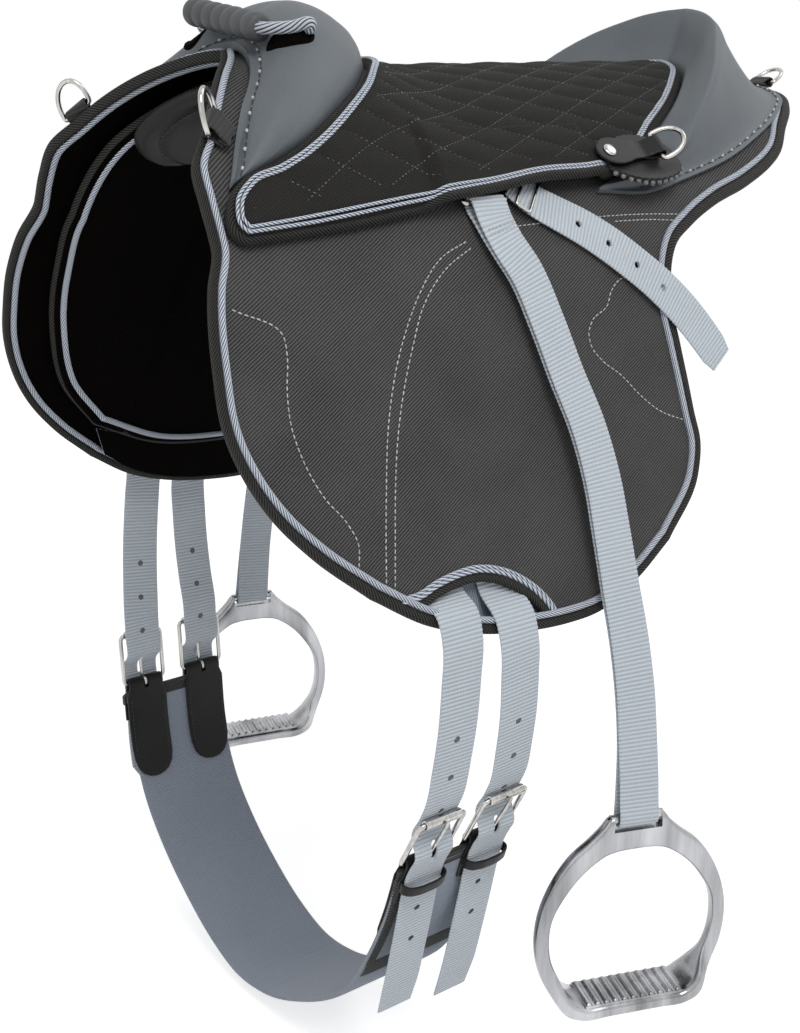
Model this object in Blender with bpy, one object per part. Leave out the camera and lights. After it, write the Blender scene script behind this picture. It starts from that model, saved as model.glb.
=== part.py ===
"""Pony saddle with a buckled girth and two stirrups, in metres.

X runs forward, Y to the near side (the pony's left), Z up. The origin is on the median plane at
mid-seat. The saddle's cover is one swept face, the skin: a section across the pony, carried along X
and raised over the withers. A place on it is (x, v, h): x forward, v round the section from the
ridge, positive on the near side, and h outward from the face of the flaps. Every soft piece is laid
on that skin in layers, so a change of section, thickness or outline carries all of them.
"""

import math

import bmesh
import bpy
import numpy as np

NEAR, OFF = 1, -1
SIDES = {"near": NEAR, "off": OFF}

# Section of the near half from the ridge down, (y, z)
SECTION = [(0, 0.008), (0.050, -0.004), (0.090, -0.028), (0.115, -0.055), (0.131, -0.090),
           (0.147, -0.148), (0.166, -0.207), (0.185, -0.262), (0.195, -0.292)]
WITHER_RISE = 0.030
WITHER_FROM, WITHER_TO = 0.050, 0.165
WITHER_SPREAD = 0.130

# Clearances
SEAM = 0.0003
BORDER = 0.0012

# Stations along X shared by the layered sheets, closest where the skin rises over the withers
STATIONS = [-0.220, -0.120, -0.030, 0.040, 0.070, 0.095, 0.120, 0.145]

# Flaps, outlines in (x, v)
FLAP_THICK = 0.0035
BEAD_WIDTH = 0.008
BEAD_PROUD = 0.002
FLAP_FRONT = [(0.176, 0), (0.187, 0.020), (0.205, 0.044), (0.221, 0.066), (0.233, 0.083), (0.246, 0.099),
              (0.248, 0.115), (0.249, 0.134), (0.257, 0.154), (0.262, 0.176), (0.264, 0.200),
              (0.264, 0.222), (0.258, 0.248), (0.245, 0.275), (0.226, 0.299), (0.196, 0.327)]
FLAP_FOOT = [(0.196, 0.327), (0.163, 0.349), (0.131, 0.361), (0.093, 0.368), (0.065, 0.370),
             (0.042, 0.369), (0.008, 0.357), (-0.025, 0.339)]
FLAP_REAR = [(-0.300, 0), (-0.292, 0.025), (-0.272, 0.048), (-0.238, 0.076), (-0.210, 0.100),
             (-0.161, 0.123), (-0.123, 0.135), (-0.093, 0.148), (-0.074, 0.160), (-0.064, 0.178),
             (-0.061, 0.198), (-0.064, 0.220), (-0.066, 0.242), (-0.067, 0.265), (-0.068, 0.283),
             (-0.060, 0.305), (-0.025, 0.339)]
MOON_TOP = [(0.178, 0.331), (0.161, 0.324), (0.142, 0.3225), (0.125, 0.3245), (0.105, 0.331),
            (0.086, 0.343)]
MOON_FOOT = [(0.079, 0.3585), (0.105, 0.3575), (0.131, 0.3510), (0.154, 0.3405), (0.170, 0.334)]

# Inner panels
PANEL_DROP = 0.0050
PANEL_THICK = 0.0072
PANEL_ROUND = 0.005
PANEL_RIDGE = 0.018
PANEL_FRONT = [(0.160, PANEL_RIDGE), (0.190, 0.058), (0.214, 0.090), (0.228, 0.125), (0.235, 0.170),
               (0.237, 0.213), (0.228, 0.256), (0.201, 0.294)]
PANEL_FOOT = [(0.201, 0.294), (0.151, 0.318), (0.090, 0.326), (0.040, 0.325), (0.000, 0.312)]
PANEL_REAR = [(-0.270, PANEL_RIDGE), (-0.225, 0.066), (-0.150, 0.106), (-0.095, 0.128), (-0.060, 0.152),
              (-0.048, 0.190), (-0.052, 0.240), (-0.045, 0.280), (0.000, 0.312)]

# Wither pad inside the front arch
PAD_REAR, PAD_FRONT = 0.070, 0.180
PAD_HALF = 0.125
PAD_THICK = 0.010
PAD_GAP = 0.0018

# Pommel and cantle: (x, v) of the edge towards the seat and of the stitched edge, ridge between
POMMEL_SEATWARD = [(0.082, 0), (0.091, 0.018), (0.106, 0.037), (0.127, 0.061), (0.147, 0.077),
                   (0.163, 0.087), (0.182, 0.096), (0.204, 0.104), (0.226, 0.110)]
POMMEL_OUTER = [(0.1685, 0), (0.173, 0.020), (0.181, 0.040), (0.192, 0.057), (0.204, 0.071),
                (0.213, 0.083), (0.220, 0.093), (0.227, 0.104), (0.232, 0.1115)]
POMMEL_HEIGHT = [0.0365, 0.0350, 0.0305, 0.0250, 0.0215, 0.018, 0.0145, 0.011, 0.008]
POMMEL_PROFILE = [(0.0, 0.42), (0.04, 0.62), (0.13, 0.84), (0.27, 0.96), (0.46, 1.0), (0.60, 0.94),
                  (0.73, 0.77), (0.82, 0.60), (0.89, 0.38), (0.93, 0.22), (1.0, 0.17)]
CANTLE_SEATWARD = [(-0.190, 0), (-0.176, 0.024), (-0.152, 0.045), (-0.124, 0.066), (-0.098, 0.082),
                   (-0.072, 0.097), (-0.047, 0.110), (-0.024, 0.1185)]
CANTLE_OUTER = [(-0.287, 0), (-0.273, 0.036), (-0.241, 0.062), (-0.196, 0.086), (-0.150, 0.105),
                (-0.104, 0.117), (-0.060, 0.1250), (-0.021, 0.1215)]
CANTLE_RIDGE = [0.16, 0.13, 0.15, 0.22, 0.32, 0.50, 0.5, 0.5]
CANTLE_HEIGHT = [0.0575, 0.0555, 0.0505, 0.0415, 0.0285, 0.0165, 0.0110, 0.006]
# Cantle section in shares: (place, height) up the dish to the ridge, and down its back to the flange
CANTLE_DISH = [(0, 0), (0.35, 0.30), (0.75, 0.80)]
CANTLE_BACK = [(0.25, 0.72), (0.50, 0.40), (0.78, 0.12), (1, 0)]
SWELL_LIFT = 0.0016
FLANGE_THICK = 0.0045
FLANGE_WIDTH = 0.010

# Seat: the edge under the pommel and cantle follows theirs, the skirt's edge is its own
SKIRT_EDGE = [(-0.0455, 0.1085), (-0.034, 0.1125), (-0.014, 0.1150), (0.029, 0.1160), (0.074, 0.1215),
              (0.152, 0.129), (0.205, 0.1325), (0.234, 0.134)]
SKIRT_CORNER = [(0.2365, 0.1205), (0.2385, 0.128), (0.234, 0.134)]
SEAT_CROWN = 0.022
SKIRT_RISE = 0.012
SEAT_ROUND = 0.004
SEAT_EASE = 0.25
SEAT_ALONG, SEAT_ACROSS = 20, 24
QUILT_PUFF = 0.0013

# Webbing
WEB_THICK = 0.002
LEATHER_WIDTH = 0.025
BILLET_WIDTH = 0.028
PLAY = 0.0003

# Stirrup suspension under the skirt
HANGER_X = 0.072
HANGER_WEB_WIDTH = 0.019
HANGER_WEB_THICK = 0.0015
HANGER_LIFT = 0.0027
HANGER_EYE = 0.1025
HANGER_EYE_LENGTH = 0.0100
RING_WIRE = 0.0016
RING_HALF_WIDTH = 0.0155
RING_BAR = 0.1250
RING_BAR_RISE = 0.0062
SEAT_LIFT = 0.0052
SKIRT_LIFT = 0.0010
SKIRT_FROM, SKIRT_TO = 0.092, 0.106
SKIRT_THICK = 0.0045
POCKET_RISE = 0.0120
POCKET_X = (-0.030, 0.122)
POCKET_V = 0.082
POCKET_RAMP_X, POCKET_RAMP_V = 0.020, 0.012

# Stirrup leather, centre line on the skin (x, v, h) and then free (x, y, z), near side
LEATHER_ON_FLAP = [(0.0719, 0.134, 0.0064), (0.0690, 0.146, 0.0066), (0.0600, 0.165, 0.0072),
                   (0.0510, 0.195, 0.0080), (0.0420, 0.230, 0.0100), (0.0360, 0.262, 0.0135)]
LEATHER_FREE = [(0.0335, 0.196, -0.255), (0.0335, 0.212, -0.310), (0.0355, 0.221, -0.360)]
LEATHER_FOOT = (0.0375, 0.225, -0.3992)
TAIL = [(0.0435, 0.1120, 0.0044), (0.035, 0.1220, 0.0032), (0.021, 0.1320, 0.0026), (0.003, 0.1430, 0.0024),
        (-0.016, 0.1560, 0.0026), (-0.036, 0.1720, 0.0032), (-0.054, 0.1880, 0.0038),
        (-0.070, 0.2040, 0.0040), (-0.085, 0.2220, 0.0040), (-0.095, 0.2360, 0.0040)]
TAIL_HOLES = [0.026, 0.050, 0.074, 0.098]
TAIL_BUCKLE_AT = 0.055
TAIL_BUCKLE_HALF = 0.005
TAIL_BUCKLE_WIRE = 0.001
HOLE_RADIUS = 0.0022

# Stirrup iron in its own plane: (x, z) from the slot's centre, outer and inner outline by half
IRON_TURN = {"near": 21.0, "off": 16.0}
IRON_OUTER = [(0, 0.0078), (0.012, 0.0078), (0.0178, 0.005), (0.0193, -0.001), (0.023, -0.0085),
              (0.036, -0.0185), (0.052, -0.037), (0.0612, -0.057), (0.063, -0.074), (0.0602, -0.093),
              (0.0525, -0.111), (0.0445, -0.1228), (0.034, -0.127), (0.017, -0.127), (0, -0.127)]
IRON_INNER = [(0, -0.0165), (0.006, -0.0165), (0.012, -0.017), (0.019, -0.0185), (0.026, -0.0225),
              (0.034, -0.029), (0.045, -0.0425), (0.0525, -0.057), (0.0543, -0.071), (0.0525, -0.086),
              (0.047, -0.100), (0.0415, -0.1105), (0.034, -0.116), (0.017, -0.1165), (0, -0.1165)]
IRON_DEPTH = 0.0045
TREAD_DEPTH = 0.0150
SLOT_HALF = 0.0155
IRON_BAR = 0.0030
IRON_BAR_UP = 0.0048
TREAD_CRESTS = 11
TREAD_PITCH = 0.0060
TREAD_CREST = 0.0030
TREAD_RISE = 0.0016

# Girth, centre line (y, z) from the near buckles' lower bars round to the off ones
GIRTH_PATH = [(0.160, -0.418), (0.143, -0.466), (0.128, -0.497), (0.100, -0.541), (0.050, -0.578),
              (0, -0.600), (-0.035, -0.604), (-0.070, -0.594), (-0.105, -0.574), (-0.135, -0.550),
              (-0.160, -0.520), (-0.175, -0.480), (-0.180, -0.426)]
GIRTH_WIDTH = 0.080
GIRTH_THICK = 0.0032
GIRTH_SETBACK = 0.0065

# Roller buckles, four alike: the frame leans from the lower bar up to the roller
BUCKLE_X = {"near": {"front": 0.150, "rear": 0.102}, "off": {"front": 0.162, "rear": 0.112}}
BUCKLE_LEAN = {"near": 29.0, "off": 3.0}
BUCKLE_RISE = 0.0395
BUCKLE_WIRE = 0.0016
ROLLER_WALL = 0.0012
ROLLER_PLAY = 0.00025
TONGUE_WIRE = 0.0012
TONGUE_PAST = 0.003
TONGUE_HOLE = (0.0050, 0.0195)
CHAPE_THICK = 0.0018
CHAPE_WIDTH = 0.0285
CHAPE_FLARE = 0.0330
CHAPE_OUTER, CHAPE_INNER = 0.030, 0.078
KEEPER_AT = 0.0150
KEEPER_BAND = 0.008
BILLET_X = {"front": 0.147, "rear": 0.108}
BILLET_TOP = 0.100
BILLET_DROP = 0.0062
BILLET_MOON = {"front": (0.3215, 0.3420, 0.3620), "rear": (0.3375, 0.3570, 0.3720)}
BILLET_OVER_RIM = 0.0037
BILLET_TAIL = {"near": {"front": 0.113, "rear": 0.124}, "off": {"front": 0.080, "rear": 0.076}}
BILLET_FLARE = {"near": 0.014, "off": 0.010}
BILLET_HOLE_PITCH = 0.026
BILLET_HOLES_UP, BILLET_HOLES_DOWN = 3, 2

# D-rings and their tabs
RING_WIDTH, RING_HEIGHT = 0.0230, 0.0210
DEE_WIRE = 0.0015
TAB_THICK = 0.0015
FRONT_RING_AT = (0.2290, 0.0830)
FRONT_RING_BACK = (-0.78, 0.62)
REAR_RING_AT = (-0.068, 0.1065)
CRUPPER_RING_AT = (-0.296, 0)
# Each tab: length of its lower and upper ply behind the ring, and its width
FRONT_KEEPER = (0.009, 0.0105, 0.015)
CRUPPER_KEEPER = (0.0075, 0.0085, 0.015)
REAR_TAB = (0.012, 0.050, 0.013)
REAR_TAB_HEAD = 0.021
FRONT_RING_TILT, REAR_RING_TILT, CRUPPER_RING_TILT = 35, 55, 60
ROSETTE_AT = (-0.053, 0.1155)
ROSETTE_RADIUS = 0.0285
ROSETTE_SQUAT = 0.85
ROSETTE_WAVE = 0.05
ROSETTE_LOBES = 12
ROSETTE_THICK = 0.0015
ROSETTE_RISE = 0.0158
RIVET_RADIUS = 0.0045
RIVET_BACK = 0.040

# Handle: centre line from the near end over to the off end
GRIP_NEAR, GRIP_OFF = (0.1740, 0.0420, 0.0515), (0.1715, -0.0390, 0.0610)
GRIP_RADIUS, GRIP_GROOVE = 0.0082, 0.0068
GRIP_RIBS = 7
ROPE = 0.0037
ROPE_RISE, ROPE_LEAD, ROPE_INSIDE = 0.003, 0.002, 0.006
HANDLE_END = (0.153, 0.0475)
EYELET, EYELET_RIM = 0.0065, 0.0016
EYELET_LIFT, EYELET_TOP = 0.0006, 0.0024


def curve_through(points):
    """A smooth curve through points, as a function of the share 0 to 1 of its chords' length."""
    p = np.array(points, float)
    s = np.r_[0, np.cumsum(np.linalg.norm(np.diff(p, axis=0), axis=1))]
    slope = np.gradient(p, s, axis=0)

    def at(share):
        q = np.clip(np.asarray(share, float), 0, 1) * s[-1]
        k = np.clip(np.searchsorted(s, q, side="right") - 1, 0, len(s) - 2)
        step = (s[k + 1] - s[k])[..., None]
        t = (q - s[k])[..., None] / step
        ease = t * t * (3 - 2 * t)
        return (p[k] * (1 - ease) + p[k + 1] * ease
                + step * (slope[k] * t * (1 - t) ** 2 - slope[k + 1] * t * t * (1 - t)))

    at.length = s[-1]
    at.shares = s / s[-1]
    return at


section = curve_through([(-y, z) for y, z in reversed(SECTION[1:])] + SECTION)


def skin(x, v, h=0.0):
    """Points at x along the saddle, v round the section and h outward from the flaps' face."""
    x, v, h = np.broadcast_arrays(np.asarray(x, float), np.asarray(v, float), np.asarray(h, float))
    share = 0.5 + v / section.length
    step = 1e-4
    along = section(share + step) - section(share - step)
    along /= np.linalg.norm(along, axis=-1, keepdims=True)
    base = section(share)
    t = np.clip((x - WITHER_FROM) / (WITHER_TO - WITHER_FROM), 0, 1)
    rise = WITHER_RISE * t * t * (3 - 2 * t) * np.clip(1 - (v / WITHER_SPREAD) ** 2, 0, 1)
    return np.stack([x, base[..., 0] - h * along[..., 1], base[..., 1] + rise + h * along[..., 0]], -1)


def outward(x, v):
    """The skin's unit normal."""
    way = skin(x, v, 0.01) - skin(x, v, 0.0)
    return way / np.linalg.norm(way)


def fore_aft(x, v, reach=0.012):
    """The skin's direction along X, which climbs with the rise over the withers."""
    return unit(skin(x + reach, v) - skin(x - reach, v))


def unit(vector):
    vector = np.asarray(vector, float)
    return vector / np.linalg.norm(vector, axis=-1, keepdims=True)


def material(name, colour, roughness, metallic=0.0):
    made = bpy.data.materials.new(name)
    made.use_nodes = True
    shader = made.node_tree.nodes["Principled BSDF"]
    shader.inputs["Base Color"].default_value = (*colour, 1)
    shader.inputs["Roughness"].default_value = roughness
    shader.inputs["Metallic"].default_value = metallic
    made.diffuse_color = (*colour, 1)
    return made


def add(name, data, finish, origin=(0, 0, 0)):
    data.materials.append(finish)
    thing = bpy.data.objects.new(name, data)
    thing.location = origin
    parts.objects.link(thing)
    return thing


def mesh_object(name, points, faces, finish, origin=(0, 0, 0), sharp=35):
    """A closed mesh about its own origin, with its faces turned outward."""
    mesh = bpy.data.meshes.new(name)
    mesh.from_pydata((np.asarray(points) - np.asarray(origin)).tolist(), [], faces)
    work = bmesh.new()
    work.from_mesh(mesh)
    bmesh.ops.recalc_face_normals(work, faces=work.faces)
    work.to_mesh(mesh)
    work.free()
    mesh.shade_smooth()
    mesh.set_sharp_from_angle(angle=math.radians(sharp))
    return add(name, mesh, finish, origin)


def slab(name, outer, inner, finish, origin=(0, 0, 0)):
    """A solid between two point grids of one shape, closed round their border."""
    rows, columns = outer.shape[:2]
    index = np.arange(rows * columns).reshape(rows, columns)
    below = index + rows * columns
    faces = []
    for i in range(rows - 1):
        for j in range(columns - 1):
            a, b, c, d = index[i, j], index[i + 1, j], index[i + 1, j + 1], index[i, j + 1]
            if (i + j) % 2:
                faces += [(a, b, d), (b, c, d)]
            else:
                faces += [(a, b, c), (a, c, d)]
            faces.append(tuple(below[k] for k in ((i, j), (i, j + 1), (i + 1, j + 1), (i + 1, j))))
    rim = ([(0, j) for j in range(columns)] + [(i, columns - 1) for i in range(1, rows)]
           + [(rows - 1, j) for j in range(columns - 2, -1, -1)] + [(i, 0) for i in range(rows - 2, 0, -1)])
    for one, two in zip(rim, rim[1:] + rim[:1]):
        faces.append((index[one], index[two], below[two], below[one]))
    points = np.concatenate([outer.reshape(-1, 3), inner.reshape(-1, 3)])
    return mesh_object(name, points, [tuple(int(k) for k in f) for f in faces], finish, origin)


def loft(name, rings, finish, origin=(0, 0, 0), closed=False, sharp=35):
    """A skin over rings of as many points each, capped at its ends or joined round."""
    rings = np.asarray(rings, float)
    count, around = rings.shape[:2]
    faces = []
    for i in range(count if closed else count - 1):
        k = (i + 1) % count
        for j in range(around):
            m = (j + 1) % around
            faces.append((i * around + j, i * around + m, k * around + m, k * around + j))
    if not closed:
        faces += [tuple(range(around))[::-1], tuple(range((count - 1) * around, count * around))]
    return mesh_object(name, rings.reshape(-1, 3), faces, finish, origin, sharp)


def ribbon(name, path, across, width, thick, finish, origin=(0, 0, 0), closed=False):
    """A strap of one thickness along a path, its width along the vectors across, mitred at bends."""
    path = np.asarray(path, float)
    across = unit(np.broadcast_to(np.asarray(across, float), path.shape))
    width = np.broadcast_to(np.asarray(width, float), len(path))
    if closed:
        steps = unit(np.roll(path, -1, 0) - path)
        before = np.roll(steps, 1, 0)
    else:
        steps = unit(np.diff(path, axis=0))
        before = np.r_[steps[:1], steps]
        steps = np.r_[steps, steps[-1:]]
    bisector = unit(steps + before)
    across = unit(across - np.sum(across * bisector, -1, keepdims=True) * bisector)
    face = unit(np.cross(across, bisector))
    miter = 1 / np.clip(np.sum(steps * bisector, -1), 0.5, 1)
    side = across * width[:, None] / 2
    up = face * (thick / 2 * miter)[:, None]
    rings = np.stack([path - side - up, path + side - up, path + side + up, path - side + up], 1)
    return loft(name, rings, finish, origin, closed)


def wire(name, points, radius, finish, origin=(0, 0, 0), cyclic=False, resolution=1):
    """A round bar along points, as a bevelled curve with filled caps."""
    data = bpy.data.curves.new(name, "CURVE")
    data.dimensions = "3D"
    data.bevel_depth = radius
    data.bevel_resolution = resolution
    data.use_fill_caps = True
    spline = data.splines.new("POLY")
    spline.points.add(len(points) - 1)
    for point, place in zip(spline.points, np.asarray(points, float) - np.asarray(origin)):
        point.co = (*place, 1)
    spline.use_cyclic_u = cyclic
    spline.use_smooth = True
    return add(name, data, finish, origin)


def cut_with(target, points, faces):
    """Cuts a closed mesh, given by its points and faces, out of target."""
    combine(target, points, faces, "DIFFERENCE")


def combine(target, points, faces, operation):
    mesh = bpy.data.meshes.new(target.name + "_cutter")
    mesh.from_pydata(np.asarray(points, float).tolist(), [], faces)
    work = bmesh.new()
    work.from_mesh(mesh)
    bmesh.ops.recalc_face_normals(work, faces=work.faces)
    work.to_mesh(mesh)
    work.free()
    tool = bpy.data.objects.new(mesh.name, mesh)
    tool.hide_render = True
    tool.display_type = "WIRE"
    tool.parent = target
    cutters.objects.link(tool)
    boolean = target.modifiers.new(operation.title(), "BOOLEAN")
    boolean.operation = operation
    boolean.object = tool


def prism(outline, low, high):
    """Points and faces of a column between outline laid at low and at high, two lists of 3D points."""
    count = len(outline)
    faces = [tuple(range(count)), tuple(range(count, 2 * count))]
    for j in range(count):
        m = (j + 1) % count
        faces.append((j, m, count + m, count + j))
    return np.concatenate([low, high]), faces


def rounds(centres, ways, radius, reach, sides=6, stretch=None):
    """Points and faces of round punches: one column at each centre, along its way, reach each side."""
    points, faces = [], []
    for centre, way, pull in zip(centres, ways, stretch if stretch is not None else [None] * len(centres)):
        way = unit(way)
        first = unit(np.cross(way, (1, 0, 0) if abs(way[0]) < 0.8 else (0, 1, 0)))
        second = np.cross(way, first)
        turn = [2 * math.pi * (k + 0.5) / sides for k in range(sides)]
        outline = [radius * (math.cos(a) * first + math.sin(a) * second) for a in turn]
        if pull is not None:
            outline = [o + np.sign(o @ pull) * np.asarray(pull) for o in outline]
        start = len(points)
        column, walls = prism(outline, [centre + o - reach * way for o in outline],
                              [centre + o + reach * way for o in outline])
        points += list(column)
        faces += [tuple(start + k for k in wall) for wall in walls]
    return points, faces


def patch(left, right, low, high, s, t):
    """Coons patch: left and right run along t, low and high along s, each a function of 0 to 1."""
    blend = (low(s) * (1 - t)[..., None] + high(s) * t[..., None]
             + left(t) * (1 - s)[..., None] + right(t) * s[..., None])
    corners = [left(0.0), right(0.0), left(1.0), right(1.0)]
    weights = [(1 - s) * (1 - t), s * (1 - t), (1 - s) * t, s * t]
    return blend - sum(w[..., None] * c for w, c in zip(weights, corners))


def bordered(count, borders, length, start=True, end=True):
    """Shares 0 to 1: rows at the border distances from an end, count even steps between."""
    head = [b / length for b in borders] if start else [0.0]
    tail = [1 - b / length for b in reversed(borders)] if end else [1.0]
    return np.array(head[:-1] + list(np.linspace(head[-1], tail[0], count + 1)) + tail[1:])


def sheet_grid(front, foot, rear, rows, borders, side):
    """(x, v) grid of a flap-shaped sheet: s from rear to front, t from the ridge to the foot."""
    x_rear, x_front = rear[0][0] + borders[-1], front[0][0] - borders[-1]
    between = np.array([0] + [(x - x_rear) / (x_front - x_rear) for x in STATIONS] + [1])
    front, foot, rear = curve_through(front), curve_through(foot[::-1]), curve_through(rear)
    ridge = curve_through([rear(0.0), front(0.0)])
    mean = 0.5 * (front.length + rear.length)
    t_rows = bordered(rows, borders, mean, start=False)
    grid = []
    for t in t_rows:
        width = abs(front(t)[0] - rear(t)[0])
        s = bordered(1, borders, max(width, 4 * borders[-1]))
        head, tail = s[len(borders) - 1], s[len(borders)]
        s = np.r_[s[:len(borders)], (head + (tail - head) * between)[1:-1], s[len(borders):]]
        grid.append(patch(rear, front, ridge, foot, s, np.full(len(s), t)))
    grid = np.array(grid)
    grid[..., 1] = np.maximum(grid[..., 1], SEAM) * side
    return grid


def border_depth(shape, open_side=True):
    """How many rows each grid point lies in from the border, the ridge's side left out."""
    rows, columns = shape
    i = np.arange(rows)[:, None]
    j = np.arange(columns)[None, :]
    depth = np.minimum(np.minimum(j, columns - 1 - j), rows - 1 - i)
    return depth if open_side else np.minimum(depth, i)


def layer(grid, depth, heights):
    """The grid's points on the skin, with h by the point's depth from the border."""
    h = np.take(heights, np.minimum(depth, len(heights) - 1))
    return skin(grid[..., 0], grid[..., 1], h)


def swell(name, seatward, outer, height, profile_at, finish, across):
    """A moulded swell over the median: sections from the seatward edge to the outer one."""
    knots = np.linspace(0, 1, len(height))
    rings = []
    inner_edge, outer_edge = curve_through(seatward), curve_through(outer)
    for place in np.linspace(-1, 1, across + 1):
        share, side = abs(place), (1 if place >= 0 else -1)
        tall = np.interp(share, knots, height)
        a = inner_edge(np.interp(share, knots, inner_edge.shares))
        b = outer_edge(np.interp(share, knots, outer_edge.shares))
        steps = profile_at(share, tall, np.linalg.norm(b - a))
        top = [(a + (b - a) * s, h) for s, h in steps]
        foot = [(a + (b - a) * s, SWELL_LIFT) for s in (1.0, 0.66, 0.33, 0.0)]
        rings.append([skin(p[0], p[1] * side, h) for p, h in top + foot])
    return loft(name, rings, finish, sharp=50)


def pommel_profile(_share, tall, _width):
    return [(s, h * tall if s < 0.9 else max(h * tall, 0.0035)) for s, h in POMMEL_PROFILE]


def cantle_profile(share, tall, width):
    ridge = np.interp(share, np.linspace(0, 1, len(CANTLE_RIDGE)), CANTLE_RIDGE)
    low = min(0.42 * tall, SEAT_CROWN)
    flange = 1 - min(FLANGE_WIDTH / width, 0.35)
    slope = tall - FLANGE_THICK
    dish = [(ridge * s, low + (tall - low) * h) for s, h in CANTLE_DISH]
    back = [(ridge + (flange - ridge) * s, FLANGE_THICK + slope * h) for s, h in CANTLE_BACK]
    return dish + [(ridge, tall), (ridge + 0.05, tall * 0.985)] + back + [(1.0, FLANGE_THICK)]


def build_flap(word, side):
    borders = [0, 0.4 * BEAD_WIDTH, BEAD_WIDTH]
    grid = sheet_grid(FLAP_FRONT, FLAP_FOOT, FLAP_REAR, 15, borders, side)
    depth = border_depth(grid.shape[:2])
    outer = layer(grid, depth, [0.25 * BEAD_PROUD, BEAD_PROUD, 0])
    inner = layer(grid, depth, [-FLAP_THICK - 0.25 * BEAD_PROUD, -FLAP_THICK - BEAD_PROUD, -FLAP_THICK])
    flap = slab(f"flap_{word}", outer, inner, CORDURA)
    moon = np.array(MOON_TOP + MOON_FOOT)
    low = skin(moon[:, 0], moon[:, 1] * side, -4 * FLAP_THICK)
    high = skin(moon[:, 0], moon[:, 1] * side, 4 * FLAP_THICK)
    cut_with(flap, *prism(moon, low, high))


def build_panel(word, side):
    grid = sheet_grid(PANEL_FRONT, PANEL_FOOT, PANEL_REAR, 12, [0, PANEL_ROUND], side)
    depth = border_depth(grid.shape[:2], open_side=False)
    top = -FLAP_THICK - PANEL_DROP
    outer = layer(grid, depth, [top - 0.3 * PANEL_THICK, top])
    inner = layer(grid, depth, [top - 0.7 * PANEL_THICK, top - PANEL_THICK])
    slab(f"panel_{word}", outer, inner, LINING)


def build_wither_pad():
    inside = [x for x in STATIONS if PAD_REAR + 0.005 < x < PAD_FRONT - 0.005]
    x = np.array([PAD_REAR] + inside + [PAD_FRONT - 0.006, PAD_FRONT])
    v = np.linspace(-PAD_HALF, PAD_HALF, 17)
    gx, gv = np.meshgrid(x, v, indexing="ij")
    depth = border_depth(gx.shape, open_side=False)
    top = -FLAP_THICK - PANEL_DROP - PANEL_THICK - PAD_GAP
    grid = np.stack([gx, gv], -1)
    outer = layer(grid, depth, [top - 0.3 * PAD_THICK, top])
    inner = layer(grid, depth, [top - 0.7 * PAD_THICK, top - PAD_THICK])
    slab("wither_pad", outer, inner, GLOSS)


def seat_heights(x, v, depth):
    """Top and underside of the seat: crown at the ridge, a skirt that stands off over the stirrup ring."""
    share = np.clip(np.abs(v) / 0.125, 0, 1)
    top = SEAT_CROWN + (SKIRT_RISE - SEAT_CROWN) * share * share * (3 - 2 * share)
    over = np.clip(np.minimum(x - POCKET_X[0], POCKET_X[1] - x) / POCKET_RAMP_X, 0, 1)
    over = over * np.clip((np.abs(v) - POCKET_V) / POCKET_RAMP_V + 1, 0, 1)
    bottom = np.interp(np.abs(v), [SKIRT_FROM, SKIRT_TO], [SEAT_LIFT, SKIRT_LIFT])
    bottom = np.maximum(bottom, POCKET_RISE * over)
    top = np.maximum(top, bottom + SKIRT_THICK)
    top = np.where(depth == 0, top - 0.7 * SEAT_ROUND, top)
    return top, bottom


def build_seat():
    seatward = [(x - BORDER, v + BORDER) for x, v in POMMEL_SEATWARD]
    front = curve_through([(seatward[0][0], 0)] + seatward[1:] + SKIRT_CORNER)
    rear = curve_through([(x + BORDER, v) for x, v in CANTLE_SEATWARD[:6]] + [SKIRT_EDGE[0]])
    edge = curve_through(SKIRT_EDGE)

    def halves(curve):
        def at(t):
            v = np.abs(2 * np.asarray(t, float) - 1)
            return curve(v) * np.stack([np.ones_like(v), np.sign(2 * np.asarray(t, float) - 1)], -1)
        return at

    def skirt(side):
        return lambda s: edge(s) * np.array([1, side])

    even = np.linspace(-1, 1, SEAT_ACROSS + 1)
    t = 0.5 + 0.5 * ((1 - SEAT_EASE) * even + SEAT_EASE * np.sin(even * math.pi / 2))
    s = bordered(SEAT_ALONG - 2, [0, SEAT_ROUND], POMMEL_SEATWARD[0][0] - CANTLE_SEATWARD[0][0])
    gs, gt = np.meshgrid(s, t, indexing="ij")
    grid = patch(halves(rear), halves(front), skirt(OFF), skirt(NEAR), gs, gt)
    depth = border_depth(gs.shape, open_side=False)
    top, bottom = seat_heights(grid[..., 0], grid[..., 1], depth)
    i, j = np.indices(gs.shape)
    puff = QUILT_PUFF * ((i + j) % 2) * (depth > 1)
    outer = skin(grid[..., 0], grid[..., 1], top + puff)
    inner = skin(grid[..., 0], grid[..., 1], bottom)
    slab("seat", outer, inner, QUILT)


def build_hanger_web():
    """The web across the tree, its ends folded up and back round the stirrup rings' upper bars."""
    t = HANGER_WEB_THICK
    low = HANGER_LIFT + t / 2
    high = 2 * HANGER_EYE_RISE - low
    front, back = HANGER_EYE + HANGER_EYE_LENGTH / 2, HANGER_EYE - HANGER_EYE_LENGTH / 2
    lap = low + t + 2 * SEAM
    eye = [(front, low), (front + t, low + t), (front + t, high - t), (front, high), (back, high),
           (back - 2 * t, high - 2 * t), (back - 3 * t, lap), (back - 6 * t, lap)]
    across = [(v, low) for v in np.linspace(0, back, 9)]
    half = across[1:] + eye
    route = [(-v, h) for v, h in reversed(half)] + across[:1] + half
    path = [skin(HANGER_X, v, h) for v, h in route]
    across = [fore_aft(HANGER_X, v) for v, _ in route]
    ribbon("hanger_web", path, across, HANGER_WEB_WIDTH, t, WEBBING_DARK)


HANGER_EYE_RISE = HANGER_LIFT + HANGER_WEB_THICK + 2 * PLAY + RING_WIRE


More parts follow.
